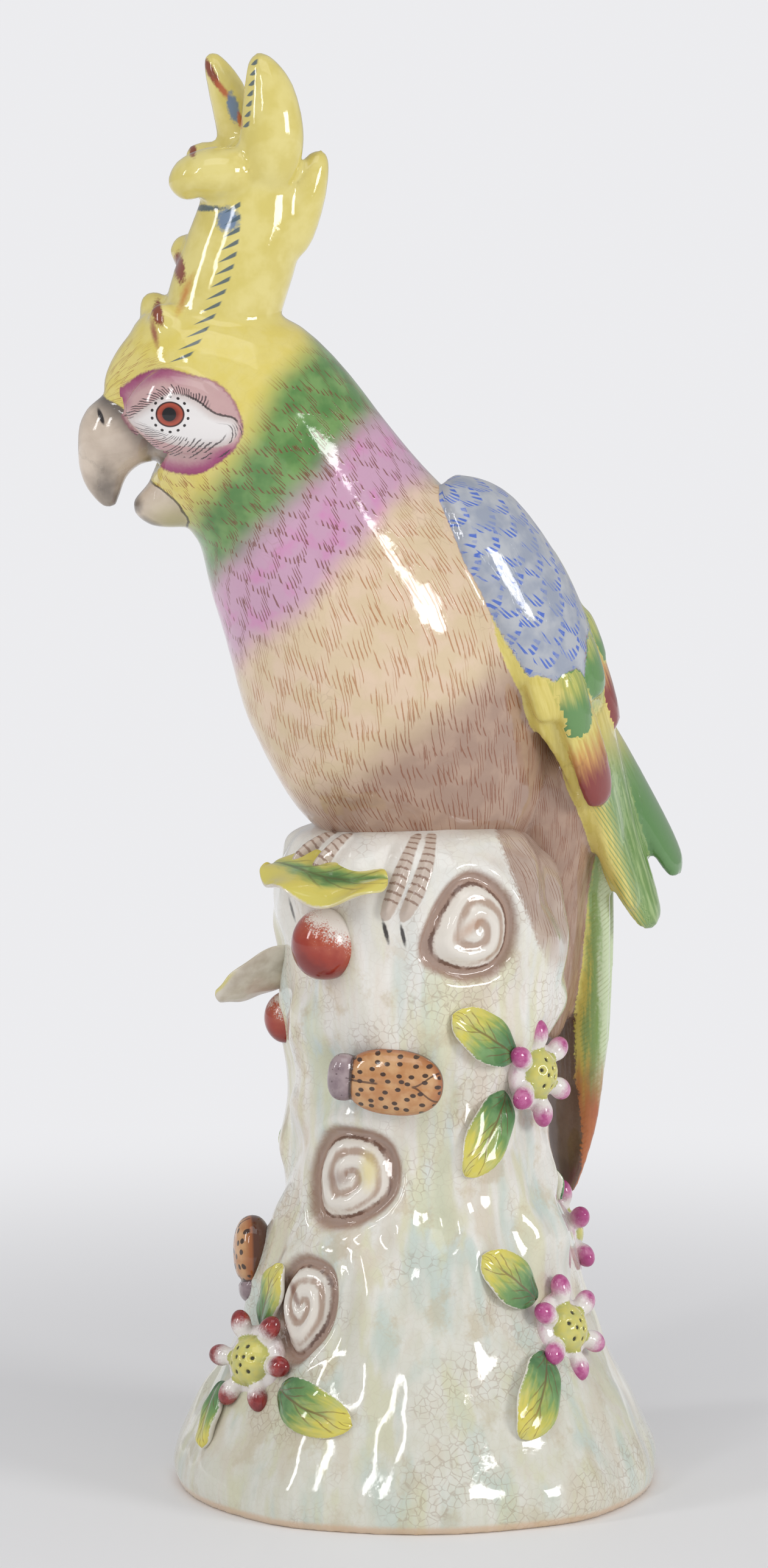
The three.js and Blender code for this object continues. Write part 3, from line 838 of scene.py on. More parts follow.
def round_wing(share, turned, lift):
    """A place that far along the wing and that far round it, with which way the wing faces there."""
    out = Vector(wing_facing(share)).normalized()
    across = wing_spine.direction(share).cross(out).normalized()
    turn = turned / WING_BEND
    facing = out * math.cos(turn) + across * math.sin(turn)
    return Vector(wing_spine(share)) - out * WING_BEND + facing * (WING_BEND + lift), facing


def lay_layer(name, layer, lean=0):
    """One layer of a wing, which drifts to the wing's front edge by the lean over the wing's length."""
    stations = []
    for share, lift, deep, wide in layer:
        at, out = round_wing(share, lean * share, lift)
        stations.append(ring(*at, deep, wide, out, WING_BEND))
    return lay_skin(name, stations, around=40, rings=24, blunt=3.4)


def lay_feather(name, start, start_round, end, end_round, half, thick, lift, tip):
    """One feather that stands out of a layer, from a row of COVERTS or FLIGHTS."""
    stations = []
    for t in (0, 0.5, 1):
        share = start + (end - start) * t
        at, out = round_wing(share, start_round + (end_round - start_round) * t, lift)
        stations.append(ring(*at, thick, half, out))
    skin = lay_skin(name, stations, around=16, rings=14, blunt=3.4)
    dress(skin, tip)
    return skin


def dress(skin, tip=PLAIN):
    """Notes from which share along a skin its tip is painted, green or, where it is negative, red."""
    green_from = tip if tip > 0 else PLAIN
    red_from = -tip if tip < 0 else PLAIN
    note(skin.data, "dress", [(green_from, red_from, 0)] * len(skin.data.vertices))


def lay_wing():
    """The three layers of one wing, each with the feathers that stand out of it."""
    shoulder = [lay_layer("shoulder", SHOULDER_LAYER, SHOULDER_LEAN)]
    coverts = [lay_layer("coverts", COVERT_LAYER)]
    dress(coverts[0])
    coverts += make_each("covert", lay_feather, COVERTS)
    flights = [lay_layer("flight", FLIGHT_LAYER)]
    dress(flights[0])
    flights += make_each("flight", lay_feather, FLIGHTS)
    flights.append(lay_skin("splayed", SPLAYED, around=20, rings=14, blunt=3.4))
    dress(flights[-1], 0.5)
    return {"shoulder": shoulder, "covert": coverts, "flight": flights}


def in_head(x, z, deep, wide, direction, y=HEAD_Y):
    """A station in the head's own plane, its depth along a direction in that plane."""
    return ring(x, y, z, deep, wide, Vector((direction[0], 0, direction[1])))


def lay_beak():
    upper = lay_skin("upper_beak", [
        in_head(-58, 256, 10, 9.5, (-0.4, 0.9)), in_head(-68.4, 252.4, 10.4, 8.6, (-0.55, 0.83)),
        in_head(-71.8, 246.6, 7.3, 6.8, (-0.9, 0.42)), in_head(-72.5, 242.3, 5.5, 5, (-1, 0.12)),
        in_head(-72, 238.4, 3.9, 3.8, (-1, -0.1)), in_head(-71, 234.6, 2.4, 2.4, (-1, -0.25)),
    ], around=32, rings=26, blunt=3)
    lower = lay_skin("lower_beak", [
        in_head(-46, 241, 9, 12, (0, 1)), in_head(-56, 237, 7.2, 9, (0, 1)),
        in_head(-61.5, 235.4, 5.2, 6.4, (0, 1)), in_head(-66, 235, 2.6, 3.4, (-0.2, 1)),
    ], around=28, rings=20, blunt=3)
    return [upper, lower]


EYE_AT = (-56.4, 257.3)


def lay_eyes():
    """The bare skin round each eye stands a little proud, with the eyeball in it."""
    skins = []
    for side in (-1, 1):
        outward = Vector((-0.3, side, 0.05)).normalized()
        skins.append(lay_skin(f"eye_rim_{side}", [
            ring(-67, HEAD_Y + side * 12.6, 258, 3.6, 5), ring(-57, HEAD_Y + side * 18, 258, 3.8, 9.6),
            ring(-42, HEAD_Y + side * 20.6, 253, 3.2, 8),
        ], out=outward, around=24, rings=16))
        bpy.ops.mesh.primitive_uv_sphere_add(segments=24, ring_count=16, radius=MM)
        ball = bpy.context.object
        bpy.ops.transform.resize(value=(4.6, 2.8, 4.1))
        bpy.ops.transform.translate(value=Vector((EYE_AT[0], HEAD_Y + side * 19.2, EYE_AT[1])) * MM)
        bpy.ops.object.transform_apply(location=True, rotation=True, scale=True)
        skins.append(ball)
    return skins


def lay_mouth_corner():
    """Closes the beak's hinge below the eyes."""
    return lay_skin("mouth_corner", [
        in_head(-52, 251, 6, 9, (0.6, 0.8)), in_head(-58.5, 249, 5, 7.6, (0.6, 0.8)),
        in_head(-62.6, 247.6, 2.6, 5, (0.6, 0.8)),
    ], around=18, rings=12)


# Crest feathers as tapering lobes: a central mass, a near row, a far row and one behind
NEAR_ROW = HEAD_Y - 5.5
FAR_ROW = HEAD_Y + 6
FORE = (-1, 0)
TOP = (0, 1)
SLANT = (-0.7, 0.7)
CREST = [
    [in_head(-47, 266, 18, 15, FORE), in_head(-44.5, 282, 14, 13, FORE),
     in_head(-39.4, 298, 12.8, 10.5, FORE), in_head(-37, 311, 11, 9, FORE), in_head(-35.5, 321, 8, 7, FORE)],
    [in_head(-38, 312, 6.4, 7, TOP, NEAR_ROW), in_head(-46, 312, 6.4, 7.4, TOP, NEAR_ROW),
     in_head(-52, 310.6, 5.4, 6.6, (-0.3, 1), NEAR_ROW), in_head(-55, 306.5, 4, 4.6, (-0.8, 0.6), NEAR_ROW)],
    [in_head(-35, 308, 8.6, 7.4, FORE, NEAR_ROW + 1), in_head(-33.4, 321, 7.6, 6.8, FORE, NEAR_ROW),
     in_head(-34.2, 331, 6, 5.6, FORE, NEAR_ROW), in_head(-36.8, 339.6, 3.4, 3.8, FORE, NEAR_ROW)],
    [in_head(-39.5, 306, 5.8, 6, FORE, FAR_ROW), in_head(-41, 320, 5.2, 5.4, FORE, FAR_ROW),
     in_head(-44, 331, 4.4, 4.6, FORE, FAR_ROW), in_head(-48.2, 340, 2.8, 3.4, FORE, FAR_ROW)],
    [in_head(-40, 311, 5, 5, SLANT, FAR_ROW), in_head(-47.5, 315.6, 3.8, 4.4, SLANT, FAR_ROW),
     in_head(-53.6, 316.4, 2.6, 3.4, SLANT, FAR_ROW)],
    [in_head(-43, 285, 7, 6, SLANT, FAR_ROW - 1), in_head(-50, 291.6, 5.6, 5.4, SLANT, FAR_ROW - 1),
     in_head(-56.4, 296.6, 3.6, 4, SLANT, FAR_ROW - 1)],
    [in_head(-54, 270, 8, 7, SLANT, FAR_ROW - 2), in_head(-59, 278, 5.4, 5.6, SLANT, FAR_ROW - 2),
     in_head(-62.6, 284.4, 3, 3.8, SLANT, FAR_ROW - 2)],
    [in_head(-52, 272, 6, 6, SLANT, NEAR_ROW - 2), in_head(-57, 277, 4.6, 4.6, SLANT, NEAR_ROW - 3),
     in_head(-60, 282, 2.8, 3.4, SLANT, NEAR_ROW - 3)],
    [in_head(-32, 293, 7, 6.6, FORE), in_head(-26.6, 306, 5.4, 5.2, FORE),
     in_head(-21.8, 317.4, 3, 3.4, FORE)],
]


def lay_crest():
    """The crest's lobes, the first of them the thick middle one."""
    skins = []
    for i, stations in enumerate(CREST):
        around, rings = (28, 24) if i == 0 else (20, 18)
        skins.append(lay_skin(f"crest_{i}", stations, around=around, rings=rings, blunt=3))
    return skins


# The stump: half profile from the foot up, as radius and height
STUMP_PROFILE = [
    (FOOT_RADIUS - 1, 0), (FOOT_RADIUS, 3), (56.7, 8), (54, 14), (50.6, 21), (46.8, 28.5), (42.7, 37.5),
    (39.4, 48), (36.6, 60), (32.8, 71), (30.6, 82), (WAIST_RADIUS, 97), (31.4, 107), (32.8, 115),
    (33, 127), (33.8, 140), (31.8, 151), (27, 157), (18, STUMP_TOP),
]
stump_line = Course(STUMP_PROFILE)
FINE_PROFILE = [stump_line(k / 90) for k in range(91)]

# Roots as angle, width, lowest and highest place, and height
ROOTS = [
    (-91, 13, 14, 62, 2), (-70, 8, 40, 84, 1.8), (-122, 11, 0, 40, 1.6), (-48, 12, 0, 34, 2),
    (20, 14, 0, 70, 2.4), (75, 13, 0, 84, 2.4), (128, 14, 0, 60, 2.2), (172, 10, 0, 30, 1.2),
    (-40, 10, 104, 146, 1.6), (-10, 15, 114, 142, 2.6), (-24, 9, 84, 100, 1.6), (-16, 12, 60, 76, 1.4),
    (-84, 6, 96, 128, 1.2), (-104, 7, 108, 134, 1.2), (-58, 6, 60, 100, 1.4), (-146, 8, 60, 110, 1.6),
    (-106, 6, 30, 56, 1.4), (-60, 7, 12, 40, 1.2), (-80, 6, 6, 24, 1),
]


def radius_at(z):
    return np.interp(z, [height for _, height in FINE_PROFILE], [radius for radius, _ in FINE_PROFILE])


def root_swell(angle, z):
    swell = np.zeros(np.broadcast(angle, z).shape)
    for middle, width, low, high, height in ROOTS:
        apart = (angle - middle + 180) % 360 - 180
        tall = np.exp(-(((z - (low + high) / 2) / (high - low) * 1.6) ** 4))
        swell = swell + height * np.exp(-((apart / width) ** 2)) * tall
    return swell


def undulate(places, step, seed):
    """A smooth seeded field between about -1 and 1 over the places, waves that many millimetres long."""
    shift = Vector((seed * 17.3, seed * 5.1, seed * 9.7))
    return np.array([noise.noise(Vector(place) / step + shift) for place in places])


def bark_waves(places):
    """How far the bark's lumps stand out at each place: upright waves that fade at the foot."""
    height = places[:, 2]
    drawn = places * (1, 1, 0.7)
    broad = undulate(drawn, 16, 1) * (1.3 + 1.1 * smooth_step(height, 10, 40))
    fine = undulate(drawn, 8, 2) * (0.4 + 1.6 * smooth_step(height, 30, 70))
    return smooth_step(height, 0.5, 7) * (broad + fine)


def on_stump(angle, z, lift=0.0):
    """A place on the stump by angle in degrees, where -90 faces the viewer, and height."""
    radius = float(radius_at(z) + root_swell(angle, z))
    way = Vector((math.cos(math.radians(angle)), math.sin(math.radians(angle)), 0))
    bark = way * radius + UP * z
    return bark + way * (lift + float(bark_waves(np.array([bark]))[0]))


def stump_normal(angle, tilt=0.0):
    level = math.cos(math.radians(tilt))
    return Vector((
        math.cos(math.radians(angle)) * level, math.sin(math.radians(angle)) * level,
        math.sin(math.radians(tilt)),
    ))


def bark_frame(angle, height, face=None, tilt=0.0, lift=0.0, turn=0.0):
    """A frame on the bark in millimetres: X across, Y upwards and Z outwards, turned about Z."""
    face = angle if face is None else face
    out = stump_normal(face, tilt)
    across = Vector((-math.sin(math.radians(face)), math.cos(math.radians(face)), 0))
    frame = Matrix((across, out.cross(across), out)).transposed().to_4x4()
    frame.translation = on_stump(angle, height, lift)
    return frame @ Matrix.Rotation(math.radians(turn), 4, "Z")


def spin_stump():
    """The stump's profile spun round its axis, with its roots pushed out."""
    outline = [(0, 0), *FINE_PROFILE, (0, STUMP_TOP + 0.5)]
    edges = [(i, i + 1) for i in range(len(outline) - 1)]
    mesh = bpy.data.meshes.new("stump")
    mesh.from_pydata([(radius * MM, 0, z * MM) for radius, z in outline], edges, [])
    piece = add_object("stump", mesh)
    take_up(piece)
    bpy.ops.object.mode_set(mode="EDIT")
    bpy.ops.mesh.select_all(action="SELECT")
    bpy.ops.mesh.spin(steps=120, angle=2 * math.pi, center=(0, 0, 0), axis=(0, 0, 1))
    bpy.ops.mesh.select_all(action="SELECT")
    bpy.ops.mesh.remove_doubles(threshold=0.01 * MM)
    face_outwards(piece)
    places = coordinates_of(mesh) / MM
    angles = np.degrees(np.arctan2(places[:, 1], places[:, 0]))
    grown = 1 + root_swell(angles, places[:, 2]) / radius_at(places[:, 2])
    places[:, :2] *= grown[:, None]
    place_vertices(mesh, places * MM)
    return piece


# Toes grip the stump's rim at a top, a foot and a claw's end. For each of the three, the lift,
# half depth and half width, and then each toe's three angles and three heights.
TOE_SIZES = [(-1, 2.3, 1.3), (0.8, 2.4, 1.4), (0, 1.4, 1.2)]
TOES = [
    ((-89, -97, -102.5), (158.5, 149.5, 140)), ((-80.5, -87.5, -95.5), (158.5, 150, 140)),
    ((-129, -133, -137), (158.5, 152, 145)), ((-141, -145, -148), (158.5, 152, 145)),
]


def lay_toes():
    skins = []
    for i, (angles, heights) in enumerate(TOES):
        stations = [
            ring(*on_stump(angle, height, lift), deep, wide)
            for angle, height, (lift, deep, wide) in zip(angles, heights, TOE_SIZES)
        ]
        out = stump_normal(angles[1])
        skins.append(lay_skin(f"toe_{i}", stations, out=out, around=14, rings=12, blunt=3))
    return skins


# Knots in the bark: a sunken ring round a boss with a curl on it, as angle, height, half width,
# half height, lean, which way the ring comes to a point, and how long the point is
KNOTS = [
    (-66, 137.6, 10.2, 11.4, 0, 205, 0.24), (-119, 79, 10.4, 10.6, 8, 232, 0.3),
    (-132, 48, 8.6, 11, 12, 280, 0.12), (104, 72, 10, 11, 6, 90, 0.1),
]
# How deep the ring is sunk, and how high the lip round it, the boss and the curl stand
GROOVE = 2.1
LIP = 0.7
BOSS = 1.5
CURL = 1.1
# Where they lie, as shares of the knot's half size, and how far apart the curl's turns are
GROOVE_AT = 0.97
LIP_AT = 1.3
BOSS_EDGE = 0.84
CURL_STEP = 0.45
# What a vertex notes, in the same shares, where there is no knot
NO_KNOT = 3.0


def carve_knots(places):
    """How far each place moves for the knots, how far from a knot's middle it is, and its curl."""
    moved = np.zeros_like(places)
    outside = np.full(len(places), NO_KNOT)
    curled = np.zeros(len(places))
    for angle, height, wide, tall, lean, point, reach in KNOTS:
        frame = bark_frame(angle, height, tilt=lean)
        local = (places - np.array(frame.translation)) @ np.array(frame.to_3x3())
        across, up = local[:, 0] / wide, local[:, 1] / tall
        turn = np.arctan2(up, across)
        apart = (turn - math.radians(point) + math.pi) % (2 * math.pi) - math.pi
        bulge = 1 + 0.025 * np.sin(3 * turn + angle) + 0.02 * np.sin(5 * turn + height)
        away = np.hypot(across, up) / (bulge + reach * np.exp(-((apart / 0.4) ** 2)))
        near = (local[:, 2] > -14) & (away < 1.9)
        groove = np.exp(-(((away - GROOVE_AT) / 0.13) ** 2))
        lip = np.exp(-(((away - LIP_AT) / 0.15) ** 2))
        boss = np.clip(1 - (away / BOSS_EDGE) ** 2, 0, 1) ** 0.7
        arms = 0.5 + 0.5 * np.cos(2 * math.pi * away / CURL_STEP + turn)
        curl = arms * smooth_step(away, 0.05, 0.2) * smooth_step(-away, -BOSS_EDGE, -0.6)
        lift = near * (-GROOVE * groove + LIP * lip + BOSS * boss + CURL * (curl - 0.4) * (boss > 0))
        moved += lift[:, None] * np.array(frame.to_3x3().col[2])
        outside = np.minimum(outside, np.where(near, away, NO_KNOT))
        curled = np.maximum(curled, near * (1 - arms) * smooth_step(-away, -0.9, -0.7))
    return moved, outside, curled


def build_stump():
    """Body and toes as one skin, with knots, waves and a vent hole worked into it."""
    toes = lay_toes()
    toe_chart = Chart(toes)
    stump = fuse("glazed_stump", [spin_stump(), *toes], STUMP_GRAIN * MM, 3)
    mesh = stump.data
    places = coordinates_of(mesh) / MM
    radii = np.maximum(np.hypot(places[:, 0], places[:, 1]), 1e-6)
    outward = np.column_stack((places[:, 0] / radii, places[:, 1] / radii, np.zeros(len(places))))
    toe_distance, toe_round, toe_reach = toe_chart.read(places * MM, "round", "reach")
    bare = smooth_step(toe_distance, 1, 4)
    carved, outside, curled = carve_knots(places)
    calm = smooth_step(outside, 1.0, 1.8)
    places += carved + outward * (bark_waves(places) * (0.3 + 0.7 * bare) * (0.4 + 0.6 * calm))[:, None]
    from_vent = np.hypot(places[:, 0] - VENT_PLACE[0], places[:, 1] - VENT_PLACE[1])
    hole = (places[:, 2] < 1) * (1 - smooth_step(from_vent, VENT_RADIUS - 0.6, VENT_RADIUS + 0.6))
    places[:, 2] += hole * VENT_DEPTH
    place_vertices(mesh, places * MM)
    note(mesh, "knot", np.column_stack((outside, np.zeros(len(places)), curled)))
    note(mesh, "toe", np.column_stack((toe_distance, toe_round[:, 1], toe_reach[:, 2])))
    return stump


# Ornaments: leaves are laid on the bark itself, and fruit, flowers and beetles are made at the
# origin in millimetres and then set on it

# Leaves as angle and height of the stalk and of the tip, and half width. Along each, its stations
# as share of the length, share of the half width, and lift.
LEAVES = [
    ((-45, 106), (-76, 117.5), 5.6), ((-47, 98), (-71, 79.5), 5.4), ((-44, 49), (-68, 61.5), 5.6),
    ((-47, 38), (-63, 20.5), 5.8), ((-152, 41), (-144, 57), 4.6), ((-133, 30), (-107, 24), 5.8),
    ((-158, 28), (-154, 13), 4), ((18, 66), (34, 78), 5), ((140, 102), (118, 116), 5.4),
    ((146, 90), (158, 74), 5.2),
]
LEAF_STATIONS = [(0, 0.55, 0.4), (0.2, 0.95, 0.9), (0.5, 1.08, 1.2), (0.8, 0.9, 1.1), (1, 0.55, 0.6)]
LEAF_THICKNESS = 1.7
LEAF_CUP = 0.5


def finish_leaf(leaf, half, out, ruffle=0.5):
    """Presses a midrib in, cups the blade, waves its edge and smooths it."""
    mesh = leaf.data
    places = coordinates_of(mesh) / MM
    turns = noted(mesh, "round", 3)
    reach = noted(mesh, "reach", 3)
    across = turns[:, 1]
    rib = -0.5 * np.exp(-((across / 0.16) ** 2)) * (turns[:, 0] > 0)
    wave = ruffle * np.sin(reach[:, 0] * 15 + across * 2) * np.abs(across) ** 2
    lift = rib + LEAF_CUP * across ** 2 * (half / 5) + wave
    places += lift[:, None] * np.array(out)
    place_vertices(mesh, places * MM)
    apply_modifier(leaf, "finer", "SUBSURF", levels=2, render_levels=2)
    bpy.ops.object.shade_smooth()
    return leaf


def build_leaf(name, start, end, half):
    """A leaf laid on the bark from its stalk to its tip, each an angle and a height."""
    stations = []
    for t, width, lift in LEAF_STATIONS:
        angle = start[0] + (end[0] - start[0]) * t
        at = on_stump(angle, start[1] + (end[1] - start[1]) * t, lift)
        stations.append(ring(*at, LEAF_THICKNESS, half * width, stump_normal(angle, 12)))
    leaf = lay_skin(name, stations, around=20, rings=16, blunt=2.6)
    return finish_leaf(leaf, half, stump_normal((start[0] + end[0]) / 2, 12))


# Canopy leaves jut from the stump over a fruit, and droop outwards: which way each faces, how
# much its rim waves, and its rings. They cup as a leaf of that half width does.
CANOPY_CUP = 4
CANOPIES = {
    "near_canopy": (Vector((-0.2, -0.42, 1)), 1.5, [
        (-34, -16, 150.8, 1.5, 6.4), (-30, -21, 150.4, 1.6, 8), (-25.4, -26.6, 149.4, 1.7, 9),
        (-19.4, -31, 148.2, 1.7, 9.8), (-13, -33, 148.4, 1.6, 8.8), (-6.6, -34, 149.6, 1.5, 6),
    ]),
    "side_canopy": (Vector((-0.5, 0.62, 0.62)), 0.4, [
        (-27, 0, 126, 1.8, 8), (-36, -3, 123, 1.8, 8.4), (-43, -5, 119.6, 1.6, 5.6),
        (-47.4, -6, 117.6, 1.4, 3),
    ]),
}


def build_canopy(name):
    facing, ruffle, places = CANOPIES[name]
    out = facing.normalized()
    leaf = lay_skin(name, [ring(*place, out) for place in places], around=24, rings=22, blunt=3.6)
    return finish_leaf(leaf, CANOPY_CUP, out, ruffle)


def add_ball(name, size, at=(0, 0, 0), segments=48, rings=24, fuller=1.0):
    """A ball in millimetres, made squarer where fuller is under 1."""
    deselect()
    bpy.ops.mesh.primitive_uv_sphere_add(segments=segments, ring_count=rings, radius=1)
    ball = bpy.context.object
    ball.name = name
    places = coordinates_of(ball.data)
    places = np.sign(places) * np.abs(places) ** fuller
    place_vertices(ball.data, places)
    bpy.ops.transform.resize(value=size)
    bpy.ops.transform.translate(value=at)
    bpy.ops.object.transform_apply(location=True, rotation=True, scale=True)
    return ball


def set_on_bark(piece, frame, name):
    """Notes each vertex's own millimetres, then sets the piece where its frame says."""
    note(piece.data, "own", coordinates_of(piece.data))
    piece.data.transform(Matrix.Scale(MM, 4) @ frame)
    piece.name = name
    piece.data.name = name
    take_up(piece)
    bpy.ops.object.shade_smooth()
    return piece


# Fruits as angle, height, lift and radius
FRUITS = [(-128.6, 133.4, 1.4, 7.9), (178, 112, -2.6, 6)]


def build_fruit(name, angle, height, lift, radius):
    """A plump fruit, flatter below, with a dimple where its flower was."""
    fruit = add_ball(name, (radius * 0.99, radius * 1.08, radius * 0.99), segments=64, rings=40)
    places = coordinates_of(fruit.data)
    around = np.hypot(places[:, 0], places[:, 2])
    places[:, 1] += 0.8 * np.exp(-((around / 1.6) ** 2)) * (places[:, 1] < 0)
    place_vertices(fruit.data, places)
    return set_on_bark(fruit, bark_frame(angle, height, lift=lift), name)


# Flowers as angle, height, the way they face, tilt, turn and colour
FLOWERS = [
    (-31, 101.5, -33, 4, 30, "pink"), (-34, 42, -36, 16, 30, "pink"), (-146, 34.5, -134, 14, 0, "red"),
    (27, 57, 24, 8, 30, "pink"), (116, 112, 116, 4, 30, "pink"),
]
FLOWER_LIFT = 2.6
PETALS = 6
HEART_RADIUS = 6.4
# Holes pricked in the heart, as distance from its middle and direction in degrees
HEART_HOLES = [
    (1.2, 40), (1.4, 160), (1.3, 285), (3.2, 15), (3.4, 75), (3.3, 130), (3.5, 200), (3.2, 250),
    (3.4, 315),
]
FLOWER_GRAIN = 0.36


def build_flower(name, angle, height, face, tilt, turn):
    """Six blunt petals round a domed heart that is pricked with holes."""
    parts = [
        add_ball("heart", (HEART_RADIUS, HEART_RADIUS, 6.4), (0, 0, -2.4)),
        add_ball("disc", (8.8, 8.8, 3.2), (0, 0, -2.6)),
    ]
    for i in range(PETALS):
        spin = Matrix.Rotation(i * 2 * math.pi / PETALS, 4, "Z")
        bulb = add_ball("bulb", (3.5, 2.6, 2.3), (9.4, 0, 0.3), 24, 16)
        neck = add_ball("neck", (4.6, 2.1, 2), (7.2, 0, -0.4), 24, 16)
        for part in (bulb, neck):
            part.data.transform(spin)
            parts.append(part)
    flower = fuse(name, parts, FLOWER_GRAIN, 4)
    places = coordinates_of(flower.data)
    pricked = np.zeros(len(places))
    for reach, way in HEART_HOLES:
        hole = reach * np.array((math.cos(math.radians(way)), math.sin(math.radians(way))))
        apart = np.hypot(places[:, 0] - hole[0], places[:, 1] - hole[1])
        pricked = np.maximum(pricked, np.exp(-((apart / 0.5) ** 2)) * (places[:, 2] > 0))
    places[:, 2] -= 1.1 * pricked
    place_vertices(flower.data, places)
    note(flower.data, "pricked", pricked)
    return set_on_bark(flower, bark_frame(angle, height, face, tilt, FLOWER_LIFT, turn), name)


# Beetles as angle, height, half length, half width and turn
BEETLES = [(-102.6, 102, 13.8, 7.8, -4), (-174, 55, 10, 7, 100)]
BEETLE_GRAIN = 0.4


def build_beetle(name, angle, height, long, half, turn):
    """Domed wing cases and a flatter head plate, the head towards its own -X."""
    parts = [
        add_ball("cases", (long * 0.86, half, 4.6), (long * 0.14, 0, 0), fuller=0.86),
        add_ball("head", (3.8, half * 0.72, 3.5), (-long * 0.72, 0, 0), fuller=0.82),
    ]
    beetle = fuse(name, parts, BEETLE_GRAIN, 2)
    places = coordinates_of(beetle.data)
    seam = np.exp(-((places[:, 1] / 0.5) ** 2)) * (np.abs(places[:, 0] - 0.14 * long) < long * 0.8)
    neck = np.exp(-(((places[:, 0] + long * 0.56) / 0.6) ** 2))
    places[:, 2] -= (0.25 * seam + 0.5 * neck) * (places[:, 2] > 0)
    place_vertices(beetle.data, places)
    note(beetle.data, "share", places[:, 0] / long)
    return set_on_bark(beetle, bark_frame(angle, height, lift=0.4, turn=turn), name)


def build_ornaments():
    leaves = make_each("leaf", build_leaf, LEAVES)
    canopies = [build_canopy(name) for name in CANOPIES]
    fruits = make_each("fruit", build_fruit, FRUITS)
    flowers = {"pink": [], "red": []}
    for i, (*place, colour) in enumerate(FLOWERS):
        flowers[colour].append(build_flower(f"flower_{i}", *place))
    beetles = make_each("beetle", build_beetle, BEETLES)
    return {"leaf": leaves, "canopy": canopies, "fruit": fruits, "beetle": beetles, **flowers}


# Where paint goes on the bird

WING_KINDS = ("shoulder", "covert", "flight")
FIELD_KINDS = (*WING_KINDS, "tail", "crest", "beak")

# Outlines round the eye, from its middle, along X and up
WHITE_OUTLINE = [
    (-10.3, -1.65), (-4.6, 2.6), (0.2, 4.9), (5.4, 3.6), (10.4, 0.2), (14.9, -1.2), (15.4, -4.4),
    (13.4, -6.8), (9, -7.6), (4.4, -7.5), (-1, -6.6), (-6, -4.6),
]
PATCH_OUTLINE = [
    (-12.6, 5.1), (-6.7, 9.1), (-1.1, 10.4), (4.5, 9.1), (10.9, 7.1), (14.6, 3.1), (16.7, -3.4), (14.9, -7.7),
    (10.5, -11.7), (6.9, -13.7), (2.2, -14), (-2.7, -12.6), (-6.3, -7.7), (-11.6, -1.4),
]
# How far to the side of the head's middle the eye's paint starts
EYE_SIDE = 7

# The ring of dots round the eye and the iris, as half sizes, and the pupil's radius
DOT_RING = (4.24, 4.02)
DOTS = 14
IRIS = (3.35, 2.94)
PUPIL = 1.6


def depth_inside(outline, along, up):
    """How far each place lies inside a closed smooth outline, negative outside it."""
    line = Course([*outline, outline[0]])
    corners = [line(k / 90)[:2] for k in range(90)]
    nearest = np.full(len(along), 1e9)
    inside = np.zeros(len(along), bool)
    for (ax, az), (bx, bz) in zip(corners, corners[1:] + corners[:1]):
        side_x, side_z = bx - ax, bz - az
        share = ((along - ax) * side_x + (up - az) * side_z) / (side_x ** 2 + side_z ** 2)
        share = np.clip(share, 0, 1)
        nearest = np.minimum(nearest, np.hypot(along - ax - share * side_x, up - az - share * side_z))
        crosses = (az > up) != (bz > up)
        where = ax + (up - az) * side_x / (side_z if abs(side_z) > 1e-9 else 1e-9)
        inside ^= crosses & (along < where)
    return np.where(inside, nearest, -nearest)


def note_bird(bird, charts):
    """Notes on each vertex of the bird how deep it is in each painted part, and places along them."""
    mesh = bird.data
    places = coordinates_of(mesh)
    readings = {"body": charts["body"].read(places, "round")}
    for kind in FIELD_KINDS:
        readings[kind] = charts[kind].read(places, "round", "reach", "dress")
    distances = {kind: reading[0] for kind, reading in readings.items()}
    for kind in FIELD_KINDS:
        others = np.min([distances[other] for other in distances if other != kind], axis=0)
        note(mesh, f"on_{kind}", others - distances[kind])
    nearest_wing = np.min([distances[kind] for kind in WING_KINDS], axis=0)
    beside_wing = np.min([distances[kind] for kind in ("body", "tail", "crest", "beak")], axis=0)
    note(mesh, "on_wing", beside_wing - nearest_wing)
    note(mesh, "skin_round", readings["body"][1])
    note(mesh, "tail_round", readings["tail"][1])
    wing = np.argmin([distances[kind] for kind in WING_KINDS], axis=0)
    laid = np.zeros((len(places), 3))
    tips = np.full((len(places), 3), -1.0)
    for i, kind in enumerate(WING_KINDS):
        _, turned, reach, tip = readings[kind]
        chosen = wing == i
        laid[chosen, :2] = np.column_stack((turned[:, 1] * reach[:, 1], turned[:, 2]))[chosen]
        tips[chosen, :2] = (reach[:, :1] - tip[:, :2])[chosen]
    note(mesh, "wing_place", laid)
    note(mesh, "tip", tips)
    middle, leftward = np.array(BODY_MIDDLE), np.array(LEFTWARD)
    apart = places / MM
    beyond = np.minimum((apart - middle) @ leftward, 0)
    note(mesh, "near_side", apart - 2 * beyond[:, None] * leftward)
    along, up = apart[:, 0] - EYE_AT[0], apart[:, 2] - EYE_AT[1]
    aside = np.abs(apart[:, 1] - HEAD_Y) > EYE_SIDE
    note(mesh, "eye_white", np.where(aside, depth_inside(WHITE_OUTLINE, along, up), -FAR))
    note(mesh, "eye_patch", np.where(aside, depth_inside(PATCH_OUTLINE, along, up), -FAR))
    note(mesh, "beside", aside)


